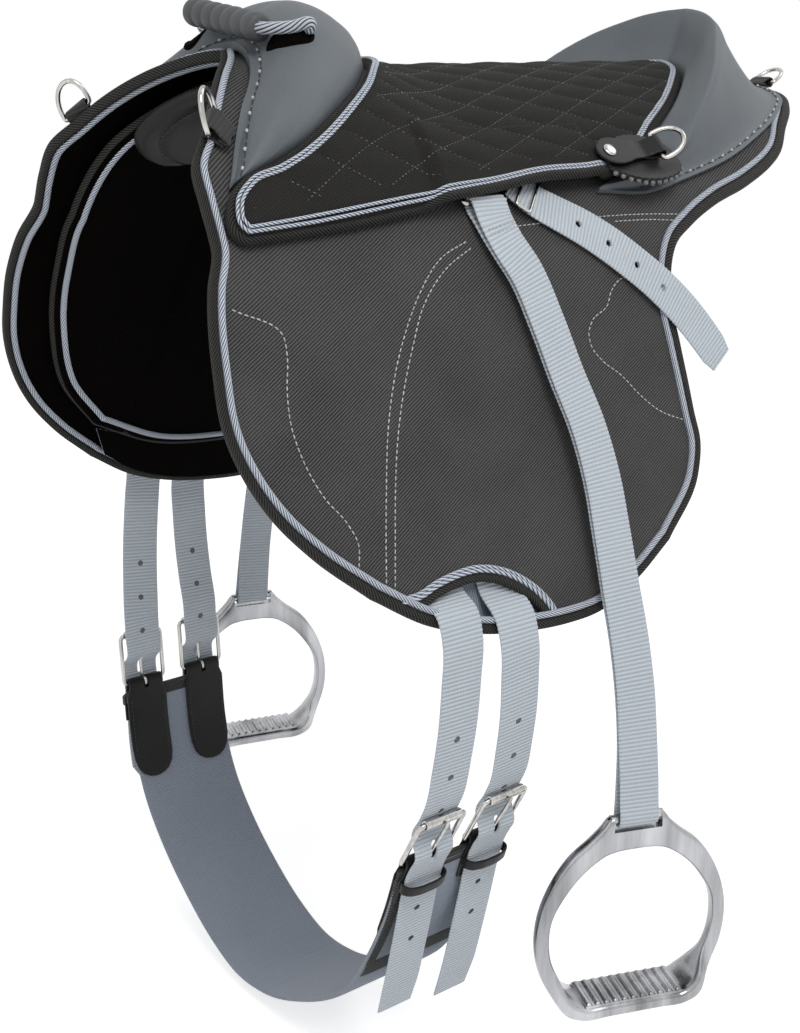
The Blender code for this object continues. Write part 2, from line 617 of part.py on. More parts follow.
def ring_bar(side):
    return skin(HANGER_X, RING_BAR * side, RING_BAR_RISE)


def build_ring(word, side):
    """Closed wire ring: its upper bar lies in the web's eye, its lower bar carries the leather."""
    top, foot = skin(HANGER_X, HANGER_EYE * side, HANGER_EYE_RISE), ring_bar(side)
    down = foot - top
    half, turn = RING_HALF_WIDTH, RING_WIRE * 1.6
    shape = [(-half + turn, 0), (half - turn, 0), (half, turn), (half, -turn), (half - turn, 0),
             (-half + turn, 0), (-half, -turn), (-half, turn)]
    upper = (top, fore_aft(HANGER_X, HANGER_EYE * side))
    lower = (foot, np.array([1, 0, 0]))
    points = []
    for k, (x, inset) in enumerate(shape):
        base, along = upper if k in (0, 1, 2, 7) else lower
        points.append(base + along * x + unit(down) * inset)
    wire(f"stirrup_ring_{word}", points, RING_WIRE, NICKEL, top, cyclic=True)


def leather_spine(word, side):
    """Centre line, width and face directions of the hanging double strap, from ring bar to iron bar."""
    foot = np.array(LEATHER_FOOT)
    on_flap = [skin(*place) for place in LEATHER_ON_FLAP]
    spine = curve_through([ring_bar(NEAR)] + on_flap + [np.array(p) for p in LEATHER_FREE] + [foot])
    shares = np.r_[0, 0.03, 0.07, np.linspace(0.12, 0.88, 10), 0.93, 0.975, 1]
    places = spine(shares)
    ways = unit(np.gradient(places, axis=0))
    turn = math.radians(IRON_TURN[word])
    hang = np.array([math.cos(turn), -math.sin(turn) * side, 0])
    across = []
    for share, way in zip(shares, ways):
        ease = np.clip((share - 0.25) / 0.65, 0, 1)
        want = np.array([1.0, 0, 0]) * (1 - ease) + hang * ease
        lean = np.clip(share / 0.08, 0, 1) * np.clip((1 - share) / 0.08, 0, 1)
        across.append(unit(want - lean * (want @ way) * way))
    across = np.array(across)
    face = unit(np.cross(ways, across))
    flip = np.array([1, side, 1])
    if face[0][1] < 0:
        face = -face
    return shares, places * flip, across * flip, face * flip


def build_leather(word, side):
    """One endless belt of webbing round the ring's lower bar and the iron's bar."""
    shares, places, across, face = leather_spine(word, side)
    near_bar = RING_WIRE + 2 * PLAY + WEB_THICK / 2
    near_iron = IRON_BAR + 2 * PLAY + WEB_THICK / 2
    flat = WEB_THICK / 2 + PLAY
    spread = np.interp(shares, [0, 0.05, 0.88, 1], [near_bar, flat, flat, near_iron])
    path, sides = [], []
    for k in range(len(shares)):
        path.append(places[k] + face[k] * spread[k])
        sides.append(across[k])
    down = unit(places[-1] - places[-2])
    for a in (35, 70, 110, 145):
        angle = math.radians(a)
        path.append(places[-1] + near_iron * (math.cos(angle) * face[-1] + math.sin(angle) * down))
        sides.append(across[-1])
    for k in range(len(shares) - 1, -1, -1):
        path.append(places[k] - face[k] * spread[k])
        sides.append(across[k])
    up = unit(places[0] - places[1])
    for a in (135, 90, 45):
        angle = math.radians(a)
        path.append(places[0] + near_bar * (math.cos(angle) * face[0] + math.sin(angle) * up))
        sides.append(across[0])
    ribbon(f"leather_{word}", path, sides, LEATHER_WIDTH, WEB_THICK, WEBBING, places[0], closed=True)


def build_tail(word, side):
    """The leather's punched end, from its buckle under the skirt back over the flap."""
    spine = curve_through(TAIL)
    count = 20
    route = spine(np.linspace(0, 1, count))
    path = skin(route[:, 0], route[:, 1] * side, route[:, 2])
    ways = unit(np.gradient(path, axis=0))
    normals = np.array([outward(x, v * side) for x, v, _ in route])
    across = unit(np.cross(ways, normals))
    width = np.full(count, LEATHER_WIDTH)
    width[-1] = 0.45 * LEATHER_WIDTH
    tail = ribbon(f"leather_tail_{word}", path, across, width, WEB_THICK, WEBBING)
    centres, ways = [], []
    for along in TAIL_HOLES:
        x, v, h = spine(along / spine.length + 0.12)
        centres.append(skin(x, v * side, h))
        ways.append(outward(x, v * side))
    cut_with(tail, *rounds(centres, ways, HOLE_RADIUS, 2 * WEB_THICK))
    x, v, h = spine(TAIL_BUCKLE_AT)
    way, up = unit(path[2] - path[1]), outward(x, v * side)
    wide = unit(np.cross(way, up))
    centre = skin(x, v * side, h)
    half = LEATHER_WIDTH / 2 + RING_WIRE
    gap = WEB_THICK / 2 + SEAM + TAIL_BUCKLE_WIRE
    corners = [centre + way * a * TAIL_BUCKLE_HALF + wide * b * half + up * gap
               for a, b in ((-1, -1), (-1, 1), (1, 1), (1, -1))]
    wire(f"leather_buckle_{word}", corners, TAIL_BUCKLE_WIRE, NICKEL, centre, cyclic=True)


def iron_section(outer, inner, depth):
    """Rounded bar section between an outer and an inner outline point."""
    outer, inner = np.array([outer[0], 0, outer[1]]), np.array([inner[0], 0, inner[1]])
    d = np.array([0, depth, 0])
    bevel = 0.28
    step = (inner - outer) * bevel
    flat = d * (1 - bevel)
    return [outer + step + d, outer + flat, outer - flat, outer + step - d,
            inner - step - d, inner - flat, inner + flat, inner - step + d]


def build_iron(word, side):
    """Cast iron: a lofted ring whose foot widens to the tread, a round bar over the slot, tread ribs."""
    outer, inner = curve_through(IRON_OUTER), curve_through(IRON_INNER)
    knots = np.linspace(0, 1, len(IRON_OUTER))
    half = []
    for k in np.linspace(0, 1, 2 * len(IRON_OUTER) - 9):
        o = outer(np.interp(k, knots, outer.shares))
        i = inner(np.interp(k, knots, inner.shares))
        low = np.clip((-0.092 - i[1]) / 0.022, 0, 1)
        half.append((o, i, IRON_DEPTH + (TREAD_DEPTH - IRON_DEPTH) * low * low * (3 - 2 * low)))
    flip = np.array([-1, 1])
    full = half + [(o * flip, i * flip, d) for o, i, d in reversed(half[1:-1])]
    centre = np.array([0, 0, IRON_BAR_UP])
    rings = np.array([iron_section(o, i, d) for o, i, d in full]) - centre
    iron = loft(f"iron_{word}", rings, ALUMINIUM, closed=True, sharp=40)
    notch = [(-SLOT_HALF, -0.0020), (SLOT_HALF, -0.0020), (SLOT_HALF, 0.02), (-SLOT_HALF, 0.02)]
    deep = 4 * IRON_DEPTH
    ends = [[np.array([x, y, z - IRON_BAR_UP]) for x, z in notch] for y in (-deep, deep)]
    cut_with(iron, *prism(notch, *ends))
    combine(iron, *rounds([np.zeros(3)], [(1, 0, 0)], IRON_BAR, SLOT_HALF + 0.0015, sides=12), "UNION")
    reach = (TREAD_CRESTS - 1) / 2 * TREAD_PITCH
    base = IRON_INNER[-1][1] - IRON_BAR_UP
    ribs = [(-reach - TREAD_CREST / 2 - 0.001, base - 0.002)]
    for k in range(TREAD_CRESTS):
        x = -reach + k * TREAD_PITCH
        ribs += [(x - TREAD_CREST / 2 - 0.0008, base + 0.0002), (x - TREAD_CREST / 2, base + TREAD_RISE),
                 (x + TREAD_CREST / 2, base + TREAD_RISE), (x + TREAD_CREST / 2 + 0.0008, base + 0.0002)]
    ribs.append((reach + TREAD_CREST / 2 + 0.001, base - 0.002))
    deep = TREAD_DEPTH - 0.002
    combine(iron, *prism(ribs, *[[np.array([x, y, z]) for x, z in ribs] for y in (-deep, deep)]), "UNION")
    iron.location = np.array(LEATHER_FOOT) * (1, side, 1)
    iron.rotation_euler = (0, 0, -math.radians(IRON_TURN[word]))


girth = curve_through(GIRTH_PATH)


def girth_at(word, along, x, off=0.0):
    """A point along the girth from one side's buckles, off outward from its middle."""
    share = along / girth.length
    share = share if word == "near" else 1 - share
    step = 1e-3
    low, high = max(share - step, 0), min(share + step, 1)
    way = unit(girth(high) - girth(low))
    y, z = girth(share) + off * np.array([-way[1], way[0]])
    return np.array([x, y, z])


def lean(word):
    """Directions of a buckle: up from the lower bar to the roller, and outward."""
    side, angle = SIDES[word], math.radians(BUCKLE_LEAN[word])
    up = np.array([0, side * math.sin(angle), math.cos(angle)])
    out = np.array([0, side * math.cos(angle), -math.sin(angle)])
    return up, out


def build_girth():
    ends = [GIRTH_SETBACK, 0.018, 0.032, 0.046, 0.060, 0.075, 0.095]
    middle = list(np.linspace(0.125, girth.length - 0.125, 9))
    places = ends + middle + [girth.length - a for a in reversed(ends)]
    near, off = (0.5 * sum(BUCKLE_X[word].values()) for word in ("near", "off"))
    path = [girth_at("near", a, near + (off - near) * a / girth.length) for a in places]
    ribbon("girth", path, (1, 0, 0), GIRTH_WIDTH, GIRTH_THICK, GIRTH_WEB)


LEAF = GIRTH_THICK / 2 + SEAM + CHAPE_THICK / 2
FOLD = BUCKLE_WIRE + 2 * SEAM + CHAPE_THICK / 2
OVER_LEAF = LEAF + CHAPE_THICK / 2 + SEAM + WEB_THICK / 2
ROLLER = BUCKLE_WIRE + ROLLER_PLAY + ROLLER_WALL
TONGUE_LOOP = BUCKLE_WIRE + PLAY + TONGUE_WIRE
BEHIND_ROLLER = ROLLER + PLAY + WEB_THICK / 2
OVER_TONGUE = TONGUE_LOOP + TONGUE_WIRE + 2 * PLAY + WEB_THICK / 2


def build_chape(word, which):
    """Leather folded round the lower bar, slotted for the tongue, with a keeper on its outer leaf."""
    side = SIDES[word]
    x = BUCKLE_X[word][which]
    heel = girth_at(word, 0, x)
    up, out = lean(word)
    outer = [girth_at(word, a, x, LEAF) for a in (CHAPE_OUTER, 0.020, 0.011, 0.005)]
    turns = np.radians([10, 50, 90, 130, 170])
    fold = [heel + FOLD * (math.cos(a) * out + math.sin(a) * up) for a in turns]
    along = (0.005, 0.011, 0.025, 0.039, 0.053, 0.066, CHAPE_INNER)
    inner = [girth_at(word, a, x, -LEAF) for a in along]
    width = ([CHAPE_FLARE] * 3 + [CHAPE_WIDTH] * 7
             + [CHAPE_FLARE] * 4 + [0.8 * CHAPE_FLARE, 0.15 * CHAPE_FLARE])
    chape = ribbon(f"chape_{word}_{which}", outer + fold + inner, (1, 0, 0), width, CHAPE_THICK, GLOSS)
    half, deep = TONGUE_WIRE + 2 * PLAY, TONGUE_LOOP + TONGUE_WIRE + PLAY
    box = [(-deep, -deep), (deep, -deep), (deep, 2 * deep), (-deep, 2 * deep)]
    slot = [[heel + out * n + up * w + np.array([s * half, 0, 0]) for n, w in box] for s in (-1, 1)]
    cut_with(chape, *prism(box, *slot))
    low = LEAF + CHAPE_THICK * 0.3
    leg_in = BILLET_WIDTH / 2 + PLAY
    leg_out = CHAPE_FLARE / 2 - 0.0002
    roof = OVER_LEAF + WEB_THICK / 2 + PLAY
    loop = [(-leg_out, low), (-leg_in, low), (-leg_in, roof), (leg_in, roof), (leg_in, low), (leg_out, low),
            (leg_out, roof + CHAPE_THICK), (-leg_out, roof + CHAPE_THICK)]
    middle = girth_at(word, KEEPER_AT, x)
    half_band = KEEPER_BAND / 2
    way = unit(girth_at(word, KEEPER_AT + half_band, x) - girth_at(word, KEEPER_AT - half_band, x))
    face = unit(girth_at(word, KEEPER_AT, x, LEAF) - middle)
    band = [[middle + np.array([a, 0, 0]) + face * b + way * s * half_band for a, b in loop]
            for s in (-1, 1)]
    combine(chape, *prism(loop, *band), "UNION")


def build_buckle(word, which):
    """Wire frame, a roller on its upper bar and a tongue rolled from wire round its lower bar."""
    x = BUCKLE_X[word][which]
    heel = girth_at(word, 0, x)
    up, out = lean(word)
    half, turn = CHAPE_WIDTH / 2 + 0.0008 + BUCKLE_WIRE, 2 * BUCKLE_WIRE
    corner = [(half, turn), (half - 0.3 * turn, 0.3 * turn), (half - turn, 0)]
    shape = [(-half, turn), (-half, BUCKLE_RISE - turn)]
    shape += [(-half + 0.3 * turn, BUCKLE_RISE - 0.3 * turn), (-half + turn, BUCKLE_RISE)]
    shape += [(half - turn, BUCKLE_RISE), (half - 0.3 * turn, BUCKLE_RISE - 0.3 * turn)]
    shape += [(half, BUCKLE_RISE - turn)] + corner + [(-half + turn, 0), (-half + 0.3 * turn, 0.3 * turn)]
    points = [heel + np.array([a, 0, 0]) + up * w for a, w in shape]
    wire(f"buckle_{word}_{which}", points, BUCKLE_WIRE, NICKEL, heel, cyclic=True)
    centre = heel + up * BUCKLE_RISE
    long = half - turn - PLAY
    bore = ROLLER - ROLLER_WALL
    rings = []
    for k in range(12):
        a = 2 * math.pi * k / 12
        spoke = math.cos(a) * out + math.sin(a) * up
        rings.append([centre + spoke * r + np.array([s * long, 0, 0])
                      for r, s in ((ROLLER, -1), (ROLLER, 1), (bore, 1), (bore, -1))])
    loft(f"roller_{word}_{which}", rings, NICKEL, centre, closed=True)
    turns = np.radians(range(115, 361, 35))
    hook = [heel + TONGUE_LOOP * (math.cos(a) * out + math.sin(a) * up) for a in turns]
    rest = ROLLER + PLAY + TONGUE_WIRE
    shaft = [(TONGUE_LOOP, 0.004), (0.5 * (TONGUE_LOOP + rest), 0.5 * BUCKLE_RISE),
             (rest, BUCKLE_RISE - 0.003), (rest, BUCKLE_RISE + TONGUE_PAST)]
    shank = [heel + out * n + up * w for n, w in shaft]
    wire(f"tongue_{word}_{which}", hook + shank, TONGUE_WIRE, NICKEL, heel)


def billet_path(word, which):
    """From between flap and panel out of the half-moon, behind the roller, over the lower bar, and down."""
    side = SIDES[word]
    x_top, x_foot = BILLET_X[which], BUCKLE_X[word][which]
    moon, rim, past = BILLET_MOON[which]
    hidden = [skin(x_top, v * side, -BILLET_DROP) for v in np.linspace(BILLET_TOP, moon - 0.02, 11)]
    places = hidden + [skin(x_top, moon * side, -BILLET_DROP + 0.0004),
                       skin(x_top, rim * side, BILLET_OVER_RIM), skin(x_top, past * side, BILLET_OVER_RIM)]
    up, out = lean(word)
    heel = girth_at(word, 0, x_foot)
    behind = heel + up * BUCKLE_RISE - out * BEHIND_ROLLER
    above = heel + up * (BUCKLE_RISE + 0.012) - out * (BEHIND_ROLLER + 0.0006)
    for share in (0.25, 0.5, 0.75):
        straight = places[len(hidden) + 2] * (1 - share) + above * share
        places.append(straight + side * np.array([0, 0.004 * math.sin(math.pi * share), 0]))
    places += [above, behind, heel + up * 0.62 * BUCKLE_RISE - out * BEHIND_ROLLER,
               heel + up * 0.32 * BUCKLE_RISE + out * OVER_TONGUE, heel + up * 0.002 + out * OVER_TONGUE]
    reach = BILLET_TAIL[word][which]
    for along in [0.008, KEEPER_AT, KEEPER_AT + 0.008] + list(np.linspace(0.035, reach, 5)):
        away = np.clip((along - 0.028) / 0.080, 0, 1)
        places.append(girth_at(word, along, x_foot, OVER_LEAF + BILLET_FLARE[word] * away))
    return np.array(places), len(hidden)


def build_billet(word, which):
    places, hidden = billet_path(word, which)
    width = np.full(len(places), BILLET_WIDTH)
    width[-1] = 0.5 * BILLET_WIDTH
    across = np.tile([1.0, 0, 0], (len(places), 1))
    across[0] = fore_aft(BILLET_X[which], BILLET_TOP)
    across[1] = fore_aft(BILLET_X[which], BILLET_TOP + 0.020)
    across[:2, 1] *= SIDES[word]
    billet = ribbon(f"billet_{word}_{which}", places, across, width, WEB_THICK, WEBBING)
    up, out = lean(word)
    steps = np.diff(places, axis=0)
    lengths = np.r_[0, np.cumsum(np.linalg.norm(steps, axis=1))]
    behind = hidden + 7

    def at(length):
        k = int(np.clip(np.searchsorted(lengths, length) - 1, 0, len(steps) - 1))
        way = unit(steps[k])
        return places[k] + way * (length - lengths[k]), np.cross((1, 0, 0), way)

    window = 0.5 * (lengths[behind + 1] + lengths[behind + 2])
    spots = [window - (k + 1) * BILLET_HOLE_PITCH for k in range(BILLET_HOLES_UP)]
    spots += [window + (k + 2.2) * BILLET_HOLE_PITCH for k in range(BILLET_HOLES_DOWN)]
    centres, ways = zip(*[at(a) for a in spots if a < lengths[-1] - 0.5 * BILLET_HOLE_PITCH])
    cut_with(billet, *rounds(centres, ways, HOLE_RADIUS, 2 * WEB_THICK))
    heel = girth_at(word, 0, BUCKLE_X[word][which])
    middle = heel + up * 0.5 * (TONGUE_HOLE[0] + TONGUE_HOLE[1]) + out * 0.3 * OVER_TONGUE
    pull = up * (0.5 * (TONGUE_HOLE[1] - TONGUE_HOLE[0]) - HOLE_RADIUS)
    cut_with(billet, *rounds([middle], [out], HOLE_RADIUS, 4 * WEB_THICK, stretch=[pull]))


def dee(name, bar, along, away):
    """A D-ring of wire: a straight bar along one direction, bulging the other way."""
    half = RING_WIDTH / 2 - DEE_WIRE
    tall = RING_HEIGHT - 2 * DEE_WIRE
    foot = 0.25 * tall
    turns = np.radians(range(0, 181, 20))
    shape = [(half * math.cos(a), foot + (tall - foot) * math.sin(a)) for a in turns]
    shape += [(-half, 0.06 * tall), (-half * 0.9, 0), (half * 0.9, 0), (half, 0.06 * tall)]
    wire(name, [bar + along * a + away * b for a, b in shape], DEE_WIRE, NICKEL, bar, cyclic=True)


def folded_tab(name, at, back, rise, lower, upper, width, finish, head=None):
    """A strip laid on the skin, folded round a bar at its front: (x, v) of the bar, h of its lower ply."""
    radius = DEE_WIRE + 3 * SEAM + TAB_THICK / 2
    back = unit(back)
    route = [(lower, 0), (0.001, 0)]
    turns = np.radians([-120, -155, 170, 135, 100])
    route += [(radius * math.cos(a), radius + radius * math.sin(a)) for a in turns]
    top = TAB_THICK + SEAM
    route += [(0.006, 1.35 * radius), (0.010, top + 0.0004)]
    route += [(upper * 0.6, top), (upper * 0.8, top), (upper, top)]
    path = [skin(at[0] + back[0] * a, at[1] + back[1] * a, rise + TAB_THICK / 2 + h) for a, h in route]
    step = 1e-3
    across = unit(skin(at[0] - back[1] * step, at[1] + back[0] * step) - skin(at[0], at[1]))
    widths = np.full(len(route), width)
    if head:
        widths[-3:] = [head, head * 0.85, head * 0.35]
    ribbon(name, path, across, widths, TAB_THICK, finish)
    return skin(at[0], at[1], rise + TAB_THICK / 2 + radius), across


def tilted(at, forward, degrees):
    """The skin's normal at a place, leant over towards forward."""
    angle = math.radians(degrees)
    return unit(math.cos(angle) * outward(*at) + math.sin(angle) * np.asarray(forward))


def build_front_ring(word, side):
    at = (FRONT_RING_AT[0], FRONT_RING_AT[1] * side)
    back = np.array([FRONT_RING_BACK[0], FRONT_RING_BACK[1] * side])
    bar, along = folded_tab(f"front_keeper_{word}", at, back, BEAD_PROUD + 2 * SEAM, *FRONT_KEEPER,
                            WEBBING_BLACK)
    forward = unit(skin(at[0] - back[0] * 0.01, at[1] - back[1] * 0.01) - skin(*at))
    dee(f"front_ring_{word}", bar, along, tilted(at, forward, FRONT_RING_TILT))


def build_rear_ring(word, side):
    at = (REAR_RING_AT[0], REAR_RING_AT[1] * side)
    rise = ROSETTE_RISE + ROSETTE_THICK + SEAM
    bar, along = folded_tab(f"rear_tab_{word}", at, (1, 0), rise, *REAR_TAB, GLOSS, head=REAR_TAB_HEAD)
    dee(f"rear_ring_{word}", bar, along, tilted(at, (-1, 0, 0), REAR_RING_TILT))
    turns = np.linspace(0, 2 * math.pi, 3 * ROSETTE_LOBES, endpoint=False)
    points, faces = [], []
    count = len(turns)
    for h in (ROSETTE_RISE, ROSETTE_RISE + ROSETTE_THICK):
        points.append(skin(ROSETTE_AT[0], ROSETTE_AT[1] * side, h))
        for share in (0.5, 1.0):
            r = share * ROSETTE_RADIUS * (1 + ROSETTE_WAVE * (share == 1.0) * np.cos(ROSETTE_LOBES * turns))
            x, v = ROSETTE_AT[0] + r * np.cos(turns), ROSETTE_AT[1] + r * np.sin(turns) * ROSETTE_SQUAT
            points += list(skin(x, side * v, h))
    layer_size = 1 + 2 * count
    for j in range(count):
        m = (j + 1) % count
        for base in (0, layer_size):
            faces += [(base, base + 1 + j, base + 1 + m),
                      (base + 1 + j, base + 1 + count + j, base + 1 + count + m, base + 1 + m)]
        edge, over = 1 + count, layer_size + 1 + count
        faces.append((edge + j, edge + m, over + m, over + j))
    mesh_object(f"rosette_{word}", points, faces, GLOSS)
    x, v = at[0] + RIVET_BACK, at[1]
    seat = rise + 2 * TAB_THICK + 2 * SEAM
    ring = []
    for r, h in ((RIVET_RADIUS, 0), (RIVET_RADIUS, 0.0006), (RIVET_RADIUS * 0.6, 0.0013)):
        centre, up = skin(x, v, seat), outward(x, v)
        first = unit(np.cross(up, (1, 0, 0)))
        second = np.cross(up, first)
        ring.append([centre + up * h + r * (math.cos(a) * first + math.sin(a) * second)
                     for a in np.linspace(0, 2 * math.pi, 12, endpoint=False)])
    loft(f"rivet_{word}", ring, NICKEL, ring[0][0])


def build_crupper_ring():
    bar, along = folded_tab("crupper_keeper", CRUPPER_RING_AT, (1, 0), BEAD_PROUD + 2 * SEAM,
                            *CRUPPER_KEEPER, WEBBING_BLACK)
    dee("crupper_ring", bar, along, tilted(CRUPPER_RING_AT, (-1, 0, 0), CRUPPER_RING_TILT))


def pommel_face(x, v):
    """Point and normal on the pommel's upper face, by search along the skin's normal lines."""
    knots = np.linspace(0, 1, len(POMMEL_HEIGHT))
    inner_edge, outer_edge = curve_through(POMMEL_SEATWARD), curve_through(POMMEL_OUTER)

    def height(x, v):
        best = None
        for share in np.linspace(0, 1, 401):
            a = inner_edge(np.interp(share, knots, inner_edge.shares))
            b = outer_edge(np.interp(share, knots, outer_edge.shares))
            s = np.clip(((x, v) - a) @ (b - a) / ((b - a) @ (b - a)), 0, 1)
            miss = np.linalg.norm(a + s * (b - a) - (x, v))
            if best is None or miss < best[0]:
                best = (miss, share, s)
        _, share, s = best
        profile = np.array(POMMEL_PROFILE)
        return np.interp(share, knots, POMMEL_HEIGHT) * np.interp(s, profile[:, 0], profile[:, 1])

    step = 0.002
    here = skin(x, v, height(x, v))
    ahead = skin(x + step, v, height(x + step, v))
    beside = skin(x, v + step, height(x, v + step))
    normal = unit(np.cross(ahead - here, beside - here))
    return here, normal if normal[2] > 0 else -normal


def build_handle():
    """A rope between two eyelets over the pommel, with a ribbed grip that turns on it."""
    place, normal = pommel_face(*HANDLE_END)
    ends = {}
    for word, side in SIDES.items():
        flip = np.array([1, side, 1])
        base, up = place * flip, normal * flip
        first = unit(np.cross(up, (1, 0, 0)))
        second = np.cross(up, first)
        rings = []
        for k in range(12):
            a = 2 * math.pi * k / 12
            spoke = math.cos(a) * first + math.sin(a) * second
            rings.append([base + spoke * r + up * h for r, h in
                          ((EYELET - EYELET_RIM, EYELET_LIFT), (EYELET + EYELET_RIM, EYELET_LIFT),
                           (EYELET, EYELET_TOP))])
        loft(f"eyelet_{word}", rings, GLOSS, base, closed=True)
        ends[word] = base + up * (ROPE + 0.0005)
    start, stop = np.array(GRIP_NEAR), np.array(GRIP_OFF)
    way = unit(stop - start)
    bend_near = 0.5 * (ends["near"] + start) + np.array([-0.001, 0.006, 0.003])
    bend_off = 0.5 * (ends["off"] + stop) + np.array([-0.001, -0.006, 0.005])
    up_near, up_off = normal, normal * (1, -1, 1)
    route = curve_through([ends["near"], ends["near"] + up_near * ROPE_RISE, bend_near,
                           start - way * ROPE_LEAD, start + way * ROPE_INSIDE])
    back = curve_through([stop - way * ROPE_INSIDE, stop + way * ROPE_LEAD, bend_off,
                          ends["off"] + up_off * ROPE_RISE, ends["off"]])
    points = list(route(np.linspace(0, 1, 9))) + list(back(np.linspace(0, 1, 9)))
    axis = 0.5 * (ends["near"] + ends["off"])
    wire("handle_rope", points, ROPE, ROPE_FIBRE, axis, resolution=2)
    length = np.linalg.norm(stop - start)
    profile = [(0, GRIP_GROOVE)]
    for k in range(GRIP_RIBS):
        a, b = k / GRIP_RIBS, (k + 1) / GRIP_RIBS
        profile += [(a + 0.25 * (b - a), GRIP_RADIUS), (b - 0.25 * (b - a), GRIP_RADIUS), (b, GRIP_GROOVE)]
    profile += [(1, ROPE + 0.0004), (0, ROPE + 0.0004)]
    first = unit(np.cross(way, (0, 0, 1)))
    second = np.cross(way, first)
    rings = []
    for a in np.linspace(0, 2 * math.pi, 12, endpoint=False):
        spoke = math.cos(a) * first + math.sin(a) * second
        rings.append([start + way * s * length + r * spoke for s, r in profile])
    loft("handle_grip", rings, GRIP_RUBBER, 0.5 * (start + stop), closed=True)


for old in list(bpy.data.objects):
    bpy.data.objects.remove(old, do_unlink=True)
parts = bpy.data.collections.new("pony_saddle")
cutters = bpy.data.collections.new("cutters")
bpy.context.scene.collection.children.link(parts)
bpy.context.scene.collection.children.link(cutters)

CORDURA = material("cordura", (0.045, 0.043, 0.042), 0.9)
LINING = material("lining", (0.030, 0.028, 0.028), 0.95)
QUILT = material("quilted_cover", (0.034, 0.032, 0.030), 0.92)
MOULDED = material("moulded_grey", (0.140, 0.160, 0.180), 0.6)
GLOSS = material("black_leather", (0.015, 0.015, 0.015), 0.3)
WEBBING = material("webbing_grey", (0.300, 0.360, 0.430), 0.85)
GIRTH_WEB = material("girth_webbing", (0.190, 0.230, 0.270), 0.85)
WEBBING_DARK = material("webbing_plain", (0.080, 0.080, 0.080), 0.9)
WEBBING_BLACK = material("webbing_black", (0.020, 0.020, 0.020), 0.9)
NICKEL = material("nickel", (0.600, 0.590, 0.570), 0.25, 1.0)
ALUMINIUM = material("aluminium", (0.720, 0.720, 0.730), 0.2, 1.0)
ROPE_FIBRE = material("rope", (0.250, 0.280, 0.330), 0.8)
GRIP_RUBBER = material("grip_rubber", (0.050, 0.055, 0.060), 0.55)

build_wither_pad()
build_seat()
swell("pommel", POMMEL_SEATWARD, POMMEL_OUTER, POMMEL_HEIGHT, pommel_profile, MOULDED, 20)
swell("cantle", CANTLE_SEATWARD, CANTLE_OUTER, CANTLE_HEIGHT, cantle_profile, MOULDED, 24)
build_hanger_web()
build_crupper_ring()
build_handle()
build_girth()
for word, side in SIDES.items():
    build_flap(word, side)
    build_panel(word, side)
    build_ring(word, side)
    build_leather(word, side)
    build_tail(word, side)
    build_iron(word, side)
    build_front_ring(word, side)
    build_rear_ring(word, side)
    for which in ("front", "rear"):
        build_chape(word, which)
        build_buckle(word, which)
        build_billet(word, which)
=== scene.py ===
import math

import bmesh
import bpy
import numpy as np
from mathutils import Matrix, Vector


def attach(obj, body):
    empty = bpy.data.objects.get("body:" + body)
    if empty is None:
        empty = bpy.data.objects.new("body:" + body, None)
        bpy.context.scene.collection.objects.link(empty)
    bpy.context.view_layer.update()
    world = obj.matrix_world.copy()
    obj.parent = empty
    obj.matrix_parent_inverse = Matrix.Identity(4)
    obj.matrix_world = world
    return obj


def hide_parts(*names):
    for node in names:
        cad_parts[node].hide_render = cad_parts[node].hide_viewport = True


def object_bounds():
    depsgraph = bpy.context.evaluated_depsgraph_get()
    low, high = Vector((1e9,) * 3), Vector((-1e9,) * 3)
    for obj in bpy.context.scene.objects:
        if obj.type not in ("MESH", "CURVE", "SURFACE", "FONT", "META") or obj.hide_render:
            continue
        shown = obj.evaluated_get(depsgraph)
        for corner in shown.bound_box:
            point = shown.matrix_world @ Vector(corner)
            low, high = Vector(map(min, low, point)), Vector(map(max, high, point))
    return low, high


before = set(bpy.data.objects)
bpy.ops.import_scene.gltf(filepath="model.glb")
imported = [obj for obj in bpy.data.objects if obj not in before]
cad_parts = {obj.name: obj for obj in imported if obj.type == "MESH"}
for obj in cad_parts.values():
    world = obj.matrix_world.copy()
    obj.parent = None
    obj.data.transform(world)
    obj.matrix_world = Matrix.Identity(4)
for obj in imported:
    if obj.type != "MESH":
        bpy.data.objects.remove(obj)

solid_box = [list(corner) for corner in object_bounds()]
scene = bpy.context.scene
scene.view_settings.view_transform = "Standard"


# The view. The saddle hangs as if on a pony, seen from its near side, from the front and a little
# above, over a plain pale floor, under one broad soft lamp, a fill lamp and an even pale sky.
EYE = (0.6062, 0.754, 0.0453)
BACKWARD = (0.5645, 0.7629, 0.3157)
FLOOR_BELOW = 0.012
FLOOR_WHITE, SKY = 0.93, 0.40

camera_data = bpy.data.cameras.new("camera")
camera_data.sensor_fit = "VERTICAL"
camera_data.sensor_height = 36
camera_data.lens = 49.97
camera_data.clip_start = 0.01
camera = bpy.data.objects.new("camera", camera_data)
camera.location = EYE
camera.rotation_euler = Vector(BACKWARD).to_track_quat("Z", "Y").to_euler()
scene.collection.objects.link(camera)
scene.camera = camera


def lamp(name, place, towards, size, power):
    """A square soft lamp at a place, turned towards a point."""
    data = bpy.data.lights.new(name, "AREA")
    data.size = size
    data.energy = power
    made = bpy.data.objects.new(name, data)
    made.location = place
    made.rotation_euler = (Vector(place) - Vector(towards)).to_track_quat("Z", "Y").to_euler()
    scene.collection.objects.link(made)


lamp("key_lamp", (0.5, 1.4, 1.5), (0, 0, -0.2), 0.9, 19)
lamp("fill_lamp", (2.0, 0.5, 0.5), (0, 0, -0.2), 1.2, 2.5)
lamp("rim_lamp", (-1.6, 0.4, 1.4), (0, 0, -0.1), 1.0, 6)

world = bpy.data.worlds.new("pale_room")
world.use_nodes = True
scene.world = world


